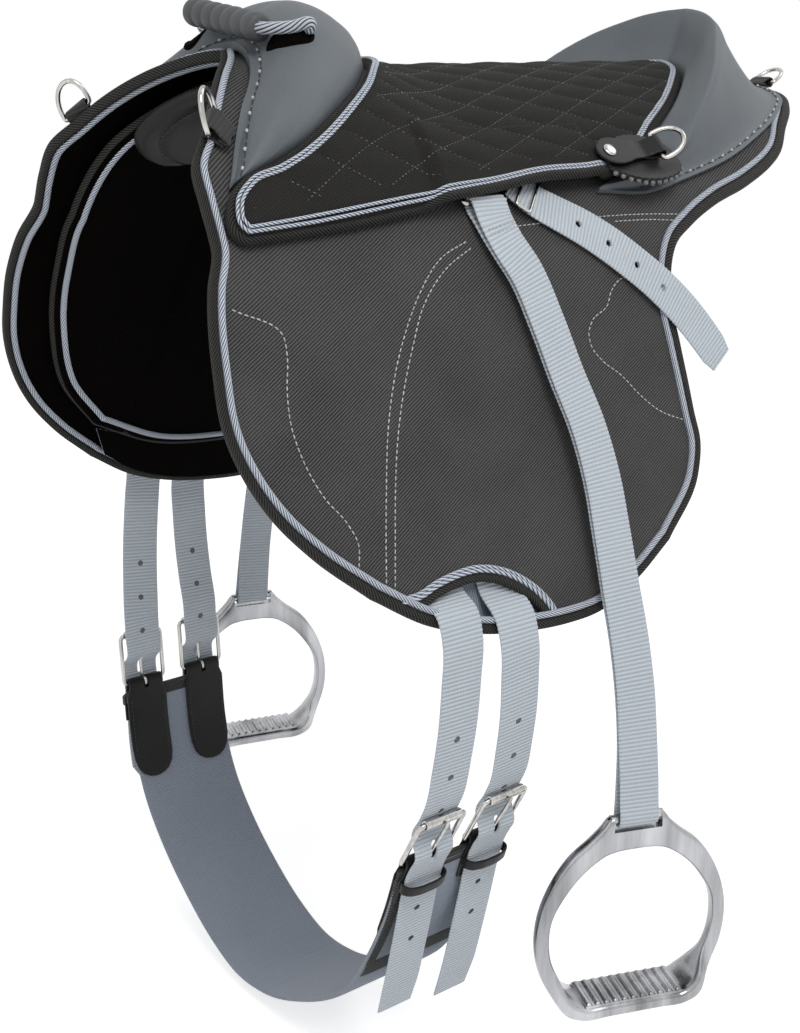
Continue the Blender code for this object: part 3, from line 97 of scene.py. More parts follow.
def step(tree, kind, links=None, **settings):
    """One node of a finish. links gives each input, by name or number, a socket or a plain value."""
    made = tree.nodes.new("ShaderNode" + kind)
    for key, value in settings.items():
        setattr(made, key, value)
    for key, value in (links or {}).items():
        if isinstance(value, bpy.types.NodeSocket):
            tree.links.new(value, made.inputs[key])
        else:
            made.inputs[key].default_value = value
    return made


def seen_or_mirrored(tree):
    """1 on rays from the camera or off a shiny face, 0 on those that light the object."""
    ray = step(tree, "LightPath")
    seen = step(tree, "Math", {0: ray.outputs["Is Camera Ray"], 1: ray.outputs["Is Glossy Ray"]},
                operation="ADD")
    both = step(tree, "Math", {0: seen.outputs[0], 1: ray.outputs["Is Transmission Ray"]},
                operation="ADD", use_clamp=True)
    return both.outputs[0]


air = world.node_tree
dim = step(air, "MapRange", {"Value": seen_or_mirrored(air), "To Min": SKY, "To Max": 1.0})
air.nodes["Background"].inputs["Color"].default_value = (1, 1, 1, 1)
air.links.new(dim.outputs[0], air.nodes["Background"].inputs["Strength"])

floor_mesh = bpy.data.meshes.new("floor")
floor_level = solid_box[0][2] - FLOOR_BELOW
floor_mesh.from_pydata([(x, y, floor_level) for x, y in ((-60, -60), (60, -60), (60, 60), (-60, 60))],
                       [], [(0, 1, 2, 3)])
floor = bpy.data.objects.new("floor", floor_mesh)
scene.collection.objects.link(floor)
floor_paint = bpy.data.materials.new("floor_paint")
floor_paint.use_nodes = True
floor_shader = floor_paint.node_tree.nodes["Principled BSDF"]
floor_shader.inputs["Base Color"].default_value = (FLOOR_WHITE, FLOOR_WHITE, FLOOR_WHITE, 1)
floor_shader.inputs["Roughness"].default_value = 0.9
floor_shader.inputs["Specular IOR Level"].default_value = 0
floor_shader.inputs["Emission Color"].default_value = (1, 1, 1, 1)
ground = floor_paint.node_tree
glow = step(ground, "Math", {0: seen_or_mirrored(ground), 1: 1 - SKY * FLOOR_WHITE}, operation="MULTIPLY")
ground.links.new(glow.outputs[0], floor_shader.inputs["Emission Strength"])
floor_mesh.materials.append(floor_paint)


# The skin. Every soft piece of the saddle is laid on one swept face: a section across the pony's
# back, carried along X and raised over the withers. A place on it is (x, v, h): x forward, v round
# the section from the ridge, and h outward from the face of the flaps.
SECTION = [(0, 0.008), (0.050, -0.004), (0.090, -0.028), (0.115, -0.055), (0.131, -0.090),
           (0.147, -0.148), (0.166, -0.207), (0.185, -0.262), (0.195, -0.292)]
WITHER_RISE, WITHER_FROM, WITHER_TO, WITHER_SPREAD = 0.030, 0.050, 0.165, 0.130
SIDES = {"near": 1, "off": -1}


def unit(vector):
    """Each vector divided by its length."""
    vector = np.asarray(vector, float)
    return vector / np.linalg.norm(vector, axis=-1, keepdims=True)


def smooth(t):
    """The smooth step from 0 to 1: three squares less two cubes."""
    return t * t * (3 - 2 * t)


def through(points):
    """A smooth curve through points, as a function of the share of its chords: on each chord, the
    cubic that has the ends' places and the slopes of their neighbours."""
    p = np.array(points, float)
    s = np.r_[0, np.cumsum(np.linalg.norm(np.diff(p, axis=0), axis=1))]
    slope = np.gradient(p, s, axis=0)

    def at(share):
        q = np.clip(np.asarray(share, float), 0, 1) * s[-1]
        k = np.clip(np.searchsorted(s, q, side="right") - 1, 0, len(s) - 2)
        chord = (s[k + 1] - s[k])[..., None]
        t = (q - s[k])[..., None] / chord
        ease = smooth(t)
        return (p[k] * (1 - ease) + p[k + 1] * ease
                + chord * (slope[k] * t * (1 - t) ** 2 - slope[k + 1] * t * t * (1 - t)))

    at.length = s[-1]
    at.shares = s / s[-1]
    return at


section = through([(-y, z) for y, z in reversed(SECTION[1:])] + SECTION)


def skin(x, v, h=0.0):
    """Place on the section at v, moved along X, raised by a smooth step of x over the withers, and
    pushed out along the section's normal by h."""
    x, v, h = np.broadcast_arrays(np.asarray(x, float), np.asarray(v, float), np.asarray(h, float))
    share = 0.5 + v / section.length
    along = unit(section(share + 1e-4) - section(share - 1e-4))
    base = section(share)
    t = np.clip((x - WITHER_FROM) / (WITHER_TO - WITHER_FROM), 0, 1)
    rise = WITHER_RISE * smooth(t) * np.clip(1 - (v / WITHER_SPREAD) ** 2, 0, 1)
    return np.stack([x, base[..., 0] - h * along[..., 1], base[..., 1] + rise + h * along[..., 0]], -1)


def outward(x, v):
    """The skin's unit normal: from the face at h = 0 to the one 10 mm out."""
    return unit(skin(x, v, 0.01) - skin(x, v, 0.0))


# The flaps. Two Cordura sheets, each cut with a half-moon near its foot for the billets, bound all
# round in ribbed black tape, edged with a silver-blue twisted cord and top-stitched in pale thread.
# Nylon twill with a black lining, sewn to the tree under the seat.
FLAP_FRONT = [(0.176, 0), (0.187, 0.020), (0.205, 0.044), (0.221, 0.066), (0.233, 0.083), (0.246, 0.099),
              (0.248, 0.115), (0.249, 0.134), (0.257, 0.154), (0.262, 0.176), (0.264, 0.200),
              (0.264, 0.222), (0.258, 0.248), (0.245, 0.275), (0.226, 0.299), (0.196, 0.327)]
FLAP_FOOT = [(0.196, 0.327), (0.163, 0.349), (0.131, 0.361), (0.093, 0.368), (0.065, 0.370),
             (0.042, 0.369), (0.008, 0.357), (-0.025, 0.339)]
FLAP_REAR = [(-0.300, 0), (-0.292, 0.025), (-0.272, 0.048), (-0.238, 0.076), (-0.210, 0.100),
             (-0.161, 0.123), (-0.123, 0.135), (-0.093, 0.148), (-0.074, 0.160), (-0.064, 0.178),
             (-0.061, 0.198), (-0.064, 0.220), (-0.066, 0.242), (-0.067, 0.265), (-0.068, 0.283),
             (-0.060, 0.305), (-0.025, 0.339)]
MOON_TOP = [(0.166, 0.3385), (0.1515, 0.3345), (0.1425, 0.3330), (0.134, 0.3322), (0.1255, 0.3325),
            (0.117, 0.3345), (0.109, 0.3377), (0.101, 0.3425), (0.093, 0.3490), (0.0865, 0.3565)]
MOON_FOOT = [(0.084, 0.3600), (0.105, 0.3585), (0.131, 0.3525), (0.150, 0.3448), (0.162, 0.3400)]
FLAP_THICK, FLAP_EDGE, FLAP_THINNING = 0.0035, 0.0016, 0.25
BINDING_HALF, BINDING_HALF_FRONT, BINDING_HALF_REAR, BINDING_PROUD = 0.0030, 0.0019, 0.0038, 0.0016
BINDING_LAP = 0.0004
LINING_THICK, LINING_GAP = 0.0006, 0.0001
CORD_INSET, CORD_RADIUS, CORD_LAY, CORD_STEP, CORD_LIFT = 0.0016, 0.0020, 0.0224, 0.0010, 0.0009
MOON_BINDING_INSET, MOON_BINDING_HALF, MOON_BINDING_PROUD = 0.0020, 0.0024, 0.0012
MOON_CORD_INSET, MOON_CORDS, MOON_LAY = 0.0060, [(0.0, 0.0013), (0.0022, 0.0011)], 0.0125
STITCH_LINES = [
    [(0.249, 0.166), (0.222, 0.184), (0.222, 0.194), (0.225, 0.210), (0.226, 0.228), (0.223, 0.246),
     (0.214, 0.269), (0.203, 0.285), (0.199, 0.296), (0.202, 0.311)],
    [(0.090, 0.144), (0.111, 0.152), (0.132, 0.171), (0.149, 0.196), (0.165, 0.235), (0.176, 0.276),
     (0.187, 0.323)],
    [(0.088, 0.148), (0.109, 0.158), (0.131, 0.178), (0.143, 0.200), (0.158, 0.236), (0.182, 0.326)],
    [(-0.030, 0.175), (-0.019, 0.177), (-0.011, 0.183), (-0.006, 0.191), (0.008, 0.199), (0.012, 0.206),
     (0.011, 0.214), (0.004, 0.223), (-0.010, 0.234), (-0.022, 0.247), (-0.036, 0.259), (-0.060, 0.270)],
    [(0.050, 0.138), (-0.013, 0.137), (-0.050, 0.138), (-0.090, 0.141)],
    [(-0.027, 0.141), (-0.055, 0.142), (-0.086, 0.145)],
]


def finish(name, colour, roughness, metallic=0.0, **fixed):
    """A new finish and its tree. Plain numbers go on the shader's own sockets."""
    made = bpy.data.materials.new(name)
    made.use_nodes = True
    shader = made.node_tree.nodes["Principled BSDF"]
    shader.inputs["Base Color"].default_value = (*colour, 1)
    shader.inputs["Roughness"].default_value = roughness
    shader.inputs["Metallic"].default_value = metallic
    for key, value in fixed.items():
        shader.inputs[key.replace("_", " ")].default_value = value
    return made, made.node_tree, shader


def waves(tree, vector, way, pitch):
    """Sine along a direction of the vector, -1 to 1, once a pitch."""
    turns = [2 * math.pi * c / pitch for c in way]
    phase = step(tree, "VectorMath", {0: vector, 1: turns}, operation="DOT_PRODUCT")
    return step(tree, "Math", {0: phase.outputs["Value"]}, operation="SINE").outputs[0]


def added(tree, first, share, second):
    """first plus share times second."""
    return step(tree, "Math", {0: second, 1: share, 2: first}, operation="MULTIPLY_ADD").outputs[0]


def ramp(tree, factor, *stops):
    """A colour for each value of factor, from (value, colour) stops."""
    made = step(tree, "ValToRGB", {0: factor})
    band = made.color_ramp
    while len(band.elements) < len(stops):
        band.elements.new(0.5)
    for element, (place, colour) in zip(band.elements, stops):
        element.position = place
        element.color = (*colour, 1)
    return made.outputs[0]


def speckle(tree, scale, detail=4.0, vector=None):
    """Fractal noise, 0 to 1, on the object's own coordinates unless a vector is given."""
    vector = vector or step(tree, "TexCoord").outputs["Object"]
    return step(tree, "TexNoise", {"Vector": vector, "Scale": scale, "Detail": detail}).outputs["Fac"]


def relief(tree, shader, height, depth, strength=1.0):
    """Feeds a height to the shader's normal as a bump of that depth in metres."""
    bump = step(tree, "Bump", {"Height": height, "Distance": depth, "Strength": strength})
    tree.links.new(bump.outputs[0], shader.inputs["Normal"])


def cloth_place(tree):
    """The piece's own map, which runs in metres along and across its cloth."""
    return step(tree, "UVMap", uv_map="metres").outputs[0]


def twill(name, dark, light, pitch, gloss=0.25, sheen=0.06):
    """Twill: yarns as sines across a diagonal, broken by the finer sine of the crossing yarns, with
     fine flecks and a slow change of tone. The yarn tops that the bump raises are paler in the colour
     too: painted highlight on the crests and painted shade between the yarns."""
    made, tree, shader = finish(name, dark, 0.9, Sheen_Weight=sheen, Specular_IOR_Level=gloss)
    place = cloth_place(tree)
    yarn = waves(tree, place, (0.52, -0.85, 0), pitch)
    cross = waves(tree, place, (0.85, 0.52, 0), 0.8 * pitch)
    weave = added(tree, yarn, 0.35, cross)
    weave = added(tree, weave, 1.1, speckle(tree, 900))
    tone = step(tree, "MapRange", {"Value": weave, "From Min": -1.2, "From Max": 2.4}).outputs[0]
    tone = added(tree, tone, 0.28, speckle(tree, 22))
    # The ramp makes the yarn tops pale and the hollows dark, in step with the bump: painted highlight and
    # painted shade.
    tree.links.new(ramp(tree, tone, (0.30, dark), (0.95, light)), shader.inputs["Base Color"])
    relief(tree, shader, weave, 0.00012)
    return made


CORDURA = twill("cordura", (0.012, 0.012, 0.0125), (0.130, 0.127, 0.128), 0.0016)
LINING = twill("lining_cloth", (0.0008, 0.0006, 0.0005), (0.0040, 0.0030, 0.0026), 0.0013, 0.03, 0.0)


def ribbed_tape(name, colour, light, pitch, lean=0.35):
    """Ribbed tape: sines along the strip, leant by a share of its width, pale on the crests that the bump
    raises: a painted highlight.
    """
    made, tree, shader = finish(name, colour, 0.72, Specular_IOR_Level=0.25)
    place = cloth_place(tree)
    rib = waves(tree, place, (1, lean, 0), pitch)
    tone = step(tree, "MapRange", {"Value": rib, "From Min": -1.0, "From Max": 1.0}).outputs[0]
    tone = added(tree, tone, 0.35, speckle(tree, 260))
    # Pale crests over dark hollows, in step with the bump: painted highlight and painted shade on black tape.
    tree.links.new(ramp(tree, tone, (0.35, colour), (1.1, light)), shader.inputs["Base Color"])
    relief(tree, shader, rib, 0.00035)
    return made


BINDING = ribbed_tape("black_binding", (0.003, 0.003, 0.003), (0.060, 0.059, 0.054), 0.0023, 1.1)


def cord_finish(name, groove_shade, crown):
    """Twisted cord: the map's first number counts strands round it, so each strand is pale on its
     crown and near-black in the grooves between: painted shade in the grooves."""
    made, tree, shader = finish(name, crown, 0.6, Sheen_Weight=0.15)
    parts = step(tree, "SeparateXYZ", {0: cloth_place(tree)})
    saw = step(tree, "Math", {0: parts.outputs[0], 1: 0.5}, operation="PINGPONG").outputs[0]
    tone = added(tree, saw, 0.10, speckle(tree, 1400))
    # The grooves between strands are painted near-black: painted shade.
    tree.links.new(ramp(tree, tone, (0.16, groove_shade), (0.30, crown)), shader.inputs["Base Color"])
    relief(tree, shader, tone, 0.0003)
    return made


SILVER_CORD = cord_finish("silver_cord", (0.008, 0.009, 0.014), (0.660, 0.725, 0.830))


def spun(name, dark, light, roughness, scale, low=0.35, high=0.65):
    """Thread, or the fibres of a cut edge: fine noise that runs from a dark to a light colour."""
    made, tree, shader = finish(name, dark, roughness)
    tone = ramp(tree, speckle(tree, scale), (low, dark), (high, light))
    tree.links.new(tone, shader.inputs["Base Color"])
    return made


THREAD = spun("pale_thread", (0.42, 0.43, 0.44), (0.72, 0.73, 0.75), 0.6, 700)


def lattice(rows, columns, round_rows=False, round_columns=False):
    """Quads over a grid of points, and each corner's row and column, counted on past a seam."""
    i, j = np.meshgrid(np.arange(rows - (not round_rows)), np.arange(columns - (not round_columns)),
                       indexing="ij")
    i, j = i.ravel(), j.ravel()
    row, column = np.stack([i, i, i + 1, i + 1], -1), np.stack([j, j + 1, j + 1, j], -1)
    return (row % rows) * columns + column % columns, row, column


def make(name, points, faces, places, colouring, slot, body, *nodes, sharp=45):
    """A piece from whole arrays: points, faces as arrays of equal-sided ones, and for each corner of
    the first array its place on the cloth. It rides on a body and stands for the named solids."""
    points = np.asarray(points, np.float32).reshape(-1, 3)
    loops = np.concatenate([f.ravel() for f in faces]).astype(np.int32)
    sizes = np.concatenate([np.full(len(f), f.shape[1]) for f in faces])
    mesh = bpy.data.meshes.new(name)
    mesh.vertices.add(len(points))
    mesh.vertices.foreach_set("co", points.ravel())
    mesh.loops.add(len(loops))
    mesh.loops.foreach_set("vertex_index", loops)
    mesh.polygons.add(len(sizes))
    mesh.polygons.foreach_set("loop_start", np.r_[0, np.cumsum(sizes)[:-1]].astype(np.int32))
    mesh.update(calc_edges=True)
    flat = np.zeros((len(loops), 2), np.float32)
    flat[:faces[0].size] = np.asarray(places, np.float32).reshape(-1, 2)
    mesh.uv_layers.new(name="metres").data.foreach_set("uv", flat.ravel())
    mesh.validate()
    work = bmesh.new()
    work.from_mesh(mesh)
    bmesh.ops.recalc_face_normals(work, faces=work.faces)
    work.to_mesh(mesh)
    work.free()
    mesh.shade_smooth()
    mesh.set_sharp_from_angle(angle=math.radians(sharp))
    mesh.materials.append(colouring)
    made = bpy.data.objects.new(name, mesh)
    scene.collection.objects.link(made)
    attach(made, body)
    if nodes:
        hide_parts(*nodes)
    return made


def patch(left, right, low, high, s, t):
    """Coons patch: the two rulings between opposite edges added, less the one between the corners."""
    blend = (low(s) * (1 - t)[..., None] + high(s) * t[..., None]
             + left(t) * (1 - s)[..., None] + right(t) * s[..., None])
    corners = [left(0.0), right(0.0), left(1.0), right(1.0)]
    weights = [(1 - s) * (1 - t), s * (1 - t), (1 - s) * t, s * t]
    return blend - sum(w[..., None] * c for w, c in zip(weights, corners))


def leaf(front, foot, rear, rows, columns):
    """(x, v) grid of a flap-shaped leaf and each point's distance from its free border."""
    front, foot, rear = through(front), through(foot[::-1]), through(rear)
    s, t = np.meshgrid(np.linspace(0, 1, columns), np.linspace(0, 1, rows))
    grid = patch(rear, front, through([rear(0.0), front(0.0)]), foot, s, t)
    wide = np.abs(front(t)[..., 0] - rear(t)[..., 0])
    edge = np.minimum(np.minimum(s, 1 - s) * wide, (1 - t) * 0.5 * (front.length + rear.length))
    return grid, edge


def shell(name, top, bottom, places, *rest, sharp=45):
    """A closed sheet between two point grids, walled round their border."""
    rows, columns = top.shape[:2]
    quads, i, j = lattice(rows, columns)
    count = rows * columns
    index = np.arange(count).reshape(rows, columns)
    rim = np.concatenate([index[0], index[1:, -1], index[-1, -2::-1], index[-2:0:-1, 0]])
    ahead = np.roll(rim, -1)
    walls = np.stack([rim, ahead, ahead + count, rim + count], -1)
    faces = np.concatenate([quads, quads[:, ::-1] + count])
    where = places[i, j]
    where = np.concatenate([where, where[:, ::-1]])
    return make(name, np.concatenate([top.reshape(-1, 3), bottom.reshape(-1, 3)]), [faces, walls], where,
                *rest, sharp=sharp)


def lengths(path):
    """Distance along a path up to each of its points."""
    return np.r_[0, np.cumsum(np.linalg.norm(np.diff(path, axis=0), axis=1))]


def even(points, spacing, closed=False):
    """A smooth path through points, cut into equal steps near the spacing."""
    curve = through(points)
    fine = curve(np.linspace(0, 1, 40 * len(points)))
    run = lengths(fine)
    count = max(4, int(round(run[-1] / spacing)))
    wanted = np.linspace(0, run[-1], count + 1)[:-1] if closed else np.linspace(0, run[-1], count + 1)
    return np.stack([np.interp(wanted, run, fine[:, k]) for k in range(fine.shape[1])], -1)


def ways_along(path, closed=False):
    """Unit way of a path at each of its points."""
    return unit(np.roll(path, -1, 0) - np.roll(path, 1, 0)) if closed else unit(np.gradient(path, axis=0))


def squared(up, way):
    """Vectors made unit and square to a way, by taking out their part along it."""
    return unit(up - np.sum(up * way, -1, keepdims=True) * way)


def carried(path, up, profile, closed=False):
    """Profile points (a, b) carried along a path: place + a·side + b·up, where up is squared to the
    way and side is the way crossed with up."""
    way = ways_along(path, closed)
    up = squared(np.broadcast_to(up, path.shape), way)
    side = np.cross(way, up)
    profile = np.broadcast_to(profile, (len(path), *profile.shape[-2:]))
    return path[:, None] + profile[..., :1] * side[:, None] + profile[..., 1:] * up[:, None]


def swept(name, path, up, profile, *rest, closed=False, strands=0, lay=1.0, sharp=45):
    """A closed bar: a profile carried along a path, capped or joined. Its map runs in metres along
    and round it, or for a cord counts strands round it, and their turns along it."""
    rings = carried(path, up, profile, closed)
    rows, around = rings.shape[:2]
    quads, i, j = lattice(rows, around, closed, True)
    run = np.r_[lengths(path), lengths(path)[-1] * rows / max(rows - 1, 1)]
    if strands:
        where = np.stack([strands * (j / around + run[i] / lay) + 0.5, run[i]], -1)
    else:
        girth = np.r_[lengths(rings[rows // 2]), 0]
        girth[-1] = girth[-2] + np.linalg.norm(rings[rows // 2][0] - rings[rows // 2][-1])
        where = np.stack([run[i], girth[j]], -1)
    faces = [quads]
    if not closed:
        faces.append(np.stack([np.arange(around)[::-1], np.arange(around) + (rows - 1) * around]))
    return make(name, rings, faces, where, *rest, sharp=sharp)


def rounded(edge, radius):
    """Share of full thickness by distance from the border: a quarter circle over the radius."""
    return np.sqrt(np.clip(1 - (1 - np.clip(edge / radius, 0, 1)) ** 2, 0.02, 1))


def circle(count):
    """Evenly spaced points of the unit circle."""
    angle = 2 * math.pi * np.arange(count) / count
    return np.stack([np.cos(angle), np.sin(angle)], -1)


def twisted(name, path, up, radius, lay, colouring, slot, body, *nodes, strands=8, deep=0.16, closed=False,
            around=32):
    """A twisted cord: its radius swells over each strand, as |cos| of half the strands' turn, and the
    strands turn once round it each lay, the other way for a lay below nought. Open ends are round."""
    run = lengths(path)
    if closed:
        whole = run[-1] * len(path) / (len(path) - 1)
        lay = whole / max(1, round(whole / lay))
    turn = 2 * math.pi * (np.arange(around) / around)[None] + 2 * math.pi * (run / lay)[:, None]
    swell = 1 - deep + deep * np.abs(np.cos(0.5 * strands * turn))
    if not closed:
        swell = swell * rounded(np.minimum(run, run[-1] - run), radius)[:, None]
    profile = radius * swell[..., None] * circle(around)
    return swept(name, path, up, profile, colouring, slot, body, *nodes, closed=closed, strands=strands,
                 lay=lay, sharp=80)


def powered(values, power):
    """Each value's size raised to a power, with its own sign."""
    return np.sign(values) * np.abs(values) ** power


def tube_profile(half_wide, half_high, around=12, square=1.0):
    """A superellipse: the powers of cosine and sine flatten a round tube towards a box."""
    angle = 2 * math.pi * (np.arange(around) + 0.5) / around
    wide, high = powered(np.cos(angle), square), powered(np.sin(angle), square)
    return np.stack([half_wide * wide, half_high * high], -1)


def beside(edge, inset, h, side):
    """Path on the skin inside an (x, v) edge that runs down the front and back up the rear: each
    point moved by inset against the way crossed with the normal. Also the normals."""
    x, v = edge[:, 0], edge[:, 1]
    place, up = skin(x, v, h), outward(x, v)
    way = unit(np.gradient(skin(x, v, 0.0), axis=0))
    flip = np.array([1, side, 1])
    return (place - inset * np.cross(way, up)) * flip, up * flip


def beads(name, at, way, side, top, rings, around, colouring, body, lift=0):
    """Small closed forms, one at each place: rings of (step along the way, radius), turned about the
    way from side towards top, and raised along top by lift."""
    along, radius, lift = (np.reshape(part, (-1, 1, 1)) for part in (*np.transpose(rings), lift))
    round_way = circle(around)
    spokes = round_way[:, :1] * side[:, None] + round_way[:, 1:] * top[:, None]
    way, raised = way[:, None, None], top[:, None, None]
    points = at[:, None, None] + along * way + radius * spokes[:, None] + lift * raised
    count = len(rings) * around
    start = count * np.arange(len(at))[:, None, None]
    walls = (lattice(len(rings), around, False, True)[0][None] + start).reshape(-1, 4)
    k = np.arange(around)
    ends = (np.stack([k[::-1], k + count - around])[None] + start).reshape(-1, around)
    return make(name, points, [walls, ends], np.zeros((walls.size, 2)), colouring, None, body, sharp=80)


def sewn(name, path, up, body, pitch=0.0036, stitch=0.0025, thick=0.0008, thread=THREAD, proud=0.3):
    """A run of stitches: small spindles along a path at each pitch, the radius of each rising and
    falling from end to end, lying in the cloth by less than half their thickness."""
    run = lengths(path)
    middles = np.arange(0.5 * pitch, run[-1], pitch)
    at, way, top = (np.stack([np.interp(middles, run, part[:, k]) for k in range(3)], -1)
                    for part in (path, np.gradient(path, axis=0), np.broadcast_to(up, path.shape)))
    way = unit(way)
    top = squared(top, way)
    spindle = [(-0.5 * stitch, 0.175 * thick), (-0.32 * stitch, 0.5 * thick),
               (0.32 * stitch, 0.5 * thick), (0.5 * stitch, 0.175 * thick)]
    lift = [0, proud * thick, proud * thick, 0]
    return beads(name, at, way, np.cross(way, top), top, spindle, 6, thread, body, lift)


def prism(low, high):
    """Points and faces of the form between two outlines of equal count."""
    n = len(low)
    k = np.arange(n)
    walls = np.stack([k, (k + 1) % n, (k + 1) % n + n, k + n], -1).tolist()
    return np.concatenate([low, high]), walls + [list(range(n))[::-1], list(range(n, 2 * n))]


def punched(piece, centres, ways, radius, reach, pull=None):
    """Holes through a piece: one round column at each centre along its way, taken out of it. pull
    stretches a hole each way into a slot."""
    points, faces = [], []
    for centre, way in zip(centres, ways):
        way = unit(way)
        first = unit(np.cross(way, (1, 0, 0) if abs(way[0]) < 0.8 else (0, 1, 0)))
        ring = radius * (circle(16) @ np.array([first, np.cross(way, first)]))
        if pull is not None:
            ring = ring + np.sign(ring @ pull)[:, None] * pull
        column, sides = prism(centre + ring - reach * way, centre + ring + reach * way)
        faces += [[corner + 32 * len(points) for corner in face] for face in sides]
        points.append(column)
    cut_out(piece, np.concatenate(points), faces)


def cut_out(piece, points, faces):
    """Takes a closed form out of a piece for good, and leaves no modifier or tool behind."""
    mesh = bpy.data.meshes.new("tool")
    mesh.from_pydata(np.asarray(points).tolist(), [], faces)
    work = bmesh.new()
    work.from_mesh(mesh)
    bmesh.ops.recalc_face_normals(work, faces=work.faces)
    work.to_mesh(mesh)
    work.free()
    tool = bpy.data.objects.new("tool", mesh)
    scene.collection.objects.link(tool)
    change = piece.modifiers.new("cut", "BOOLEAN")
    change.operation = "DIFFERENCE"
    change.object = tool
    change.solver = "EXACT"
    shape = bpy.data.meshes.new_from_object(piece.evaluated_get(bpy.context.evaluated_depsgraph_get()))
    piece.modifiers.clear()
    piece.data = shape
    bpy.data.objects.remove(tool)
    shape.set_sharp_from_angle(angle=math.radians(45))


flap_grid, flap_edge = leaf(FLAP_FRONT, FLAP_FOOT, FLAP_REAR, 96, 128)
border = np.concatenate([even(FLAP_FRONT, CORD_STEP), even(FLAP_FOOT, CORD_STEP)[1:],
                         even(FLAP_REAR, CORD_STEP)[-2::-1]])
front_run, foot_run = through(FLAP_FRONT).length, through(FLAP_FOOT).length
rim_half = np.interp(lengths(border),
                     [0.7 * front_run, front_run, front_run + foot_run, front_run + foot_run + 0.15],
                     [BINDING_HALF_FRONT, BINDING_HALF, BINDING_HALF, BINDING_HALF_REAR])[:, None]
rim_tall = np.full_like(rim_half, FLAP_THICK / 2 + BINDING_PROUD)
rim_profile = tube_profile(1, 1, 14, 0.7) * np.stack([rim_half, rim_tall], -1)
moon_edge = even([(0.1790, 0.3390)] + MOON_TOP + [(0.0815, 0.3650)], CORD_STEP)
moon = np.array(MOON_TOP + MOON_FOOT)
for word, side in SIDES.items():
    flip = np.array([1, side, 1])
    thin = FLAP_THINNING * (1 - np.clip(flap_edge / FLAP_EDGE, 0, 1))[..., None]
    x, v = flap_grid[..., 0], flap_grid[..., 1]
    face, back = skin(x, v, 0.0), skin(x, v, -FLAP_THICK)
    eaten = thin * (back - face)
    flap = shell(f"flap_sheet_{word}", (face + eaten) * flip, (back - eaten) * flip,
                 flap_grid, CORDURA, "cordura", "saddle", f"flap_{word}")
    moon_tool = prism(*(skin(moon[:, 0], moon[:, 1], h) * flip for h in (-4 * FLAP_THICK, 4 * FLAP_THICK)))
    cut_out(flap, *moon_tool)
    inner = -FLAP_THICK - LINING_GAP
    lining = shell(f"flap_lining_{word}", skin(x, v, inner) * flip, skin(x, v, inner - LINING_THICK) * flip,
                   flap_grid, LINING, "lining", "saddle")
    cut_out(lining, *moon_tool)
    middle = -FLAP_THICK / 2
    path, up = beside(border[::2], rim_half[::2] - BINDING_LAP, middle, side)
    swept(f"flap_binding_{word}", path, up, rim_profile[::2], BINDING, "cordura", "saddle")
    for layer, h in (("outer", CORD_LIFT), ("inner", -FLAP_THICK - LINING_THICK - CORD_LIFT)):
        path, up = beside(border, 2 * rim_half + CORD_INSET, h, side)
        twisted(f"flap_cord_{layer}_{word}", path, up, CORD_RADIUS, CORD_LAY, SILVER_CORD, "rope", "saddle")
    path, up = beside(moon_edge[::2], MOON_BINDING_INSET, middle, side)
    swept(f"moon_binding_{word}", path, up,
          tube_profile(MOON_BINDING_HALF, FLAP_THICK / 2 + MOON_BINDING_PROUD, 14, 0.7),
          BINDING, "cordura", "saddle")
    for row, (inward, radius) in enumerate(MOON_CORDS):
        path, up = beside(moon_edge, MOON_CORD_INSET + inward, 0.5 * radius, side)
        twisted(f"moon_cord_{row}_{word}", path, up, radius, MOON_LAY, SILVER_CORD, "rope", "saddle",
                strands=3, deep=0.3, around=24)
    for number, line in enumerate(STITCH_LINES):
        path, up = beside(even(line, 0.001), 0, 0.0001, side)
        sewn(f"flap_stitches_{number}_{word}", path, up, "saddle")


# The panels and the wither pad. Each panel is a thin quilted leaf of black lining cloth against the
# pony, edged with the same twisted cord. The wither pad is glossy padded leather under the arch.
PANEL_DROP, PANEL_THICK, PANEL_RIDGE, PANEL_ROUND = 0.0050, 0.0072, 0.018, 0.006
PANEL_OUTER = -FLAP_THICK - PANEL_DROP
PANEL_INNER = PANEL_OUTER - PANEL_THICK
PANEL_FRONT = [(0.160, PANEL_RIDGE), (0.190, 0.058), (0.214, 0.090), (0.228, 0.125), (0.235, 0.170),
               (0.237, 0.213), (0.228, 0.256), (0.201, 0.294)]
PANEL_FOOT = [(0.201, 0.294), (0.151, 0.318), (0.090, 0.326), (0.040, 0.325), (0.000, 0.312)]
PANEL_REAR = [(-0.270, PANEL_RIDGE), (-0.225, 0.066), (-0.150, 0.106), (-0.095, 0.128), (-0.060, 0.152),
              (-0.048, 0.190), (-0.052, 0.240), (-0.045, 0.280), (0.000, 0.312)]
PANEL_SEAMS = [(0.150, 0.006), (0.060, 0.005)]
PAD_REAR, PAD_HALF, PAD_THICK, PAD_GAP, PAD_ROUND, PAD_SEAM = 0.070, 0.094, 0.010, 0.0018, 0.007, 0.016
PAD_FRONT = [(0, 0.184), (0.030, 0.195), (0.050, 0.203), (0.068, 0.206), (0.082, 0.199), (0.094, 0.176)]


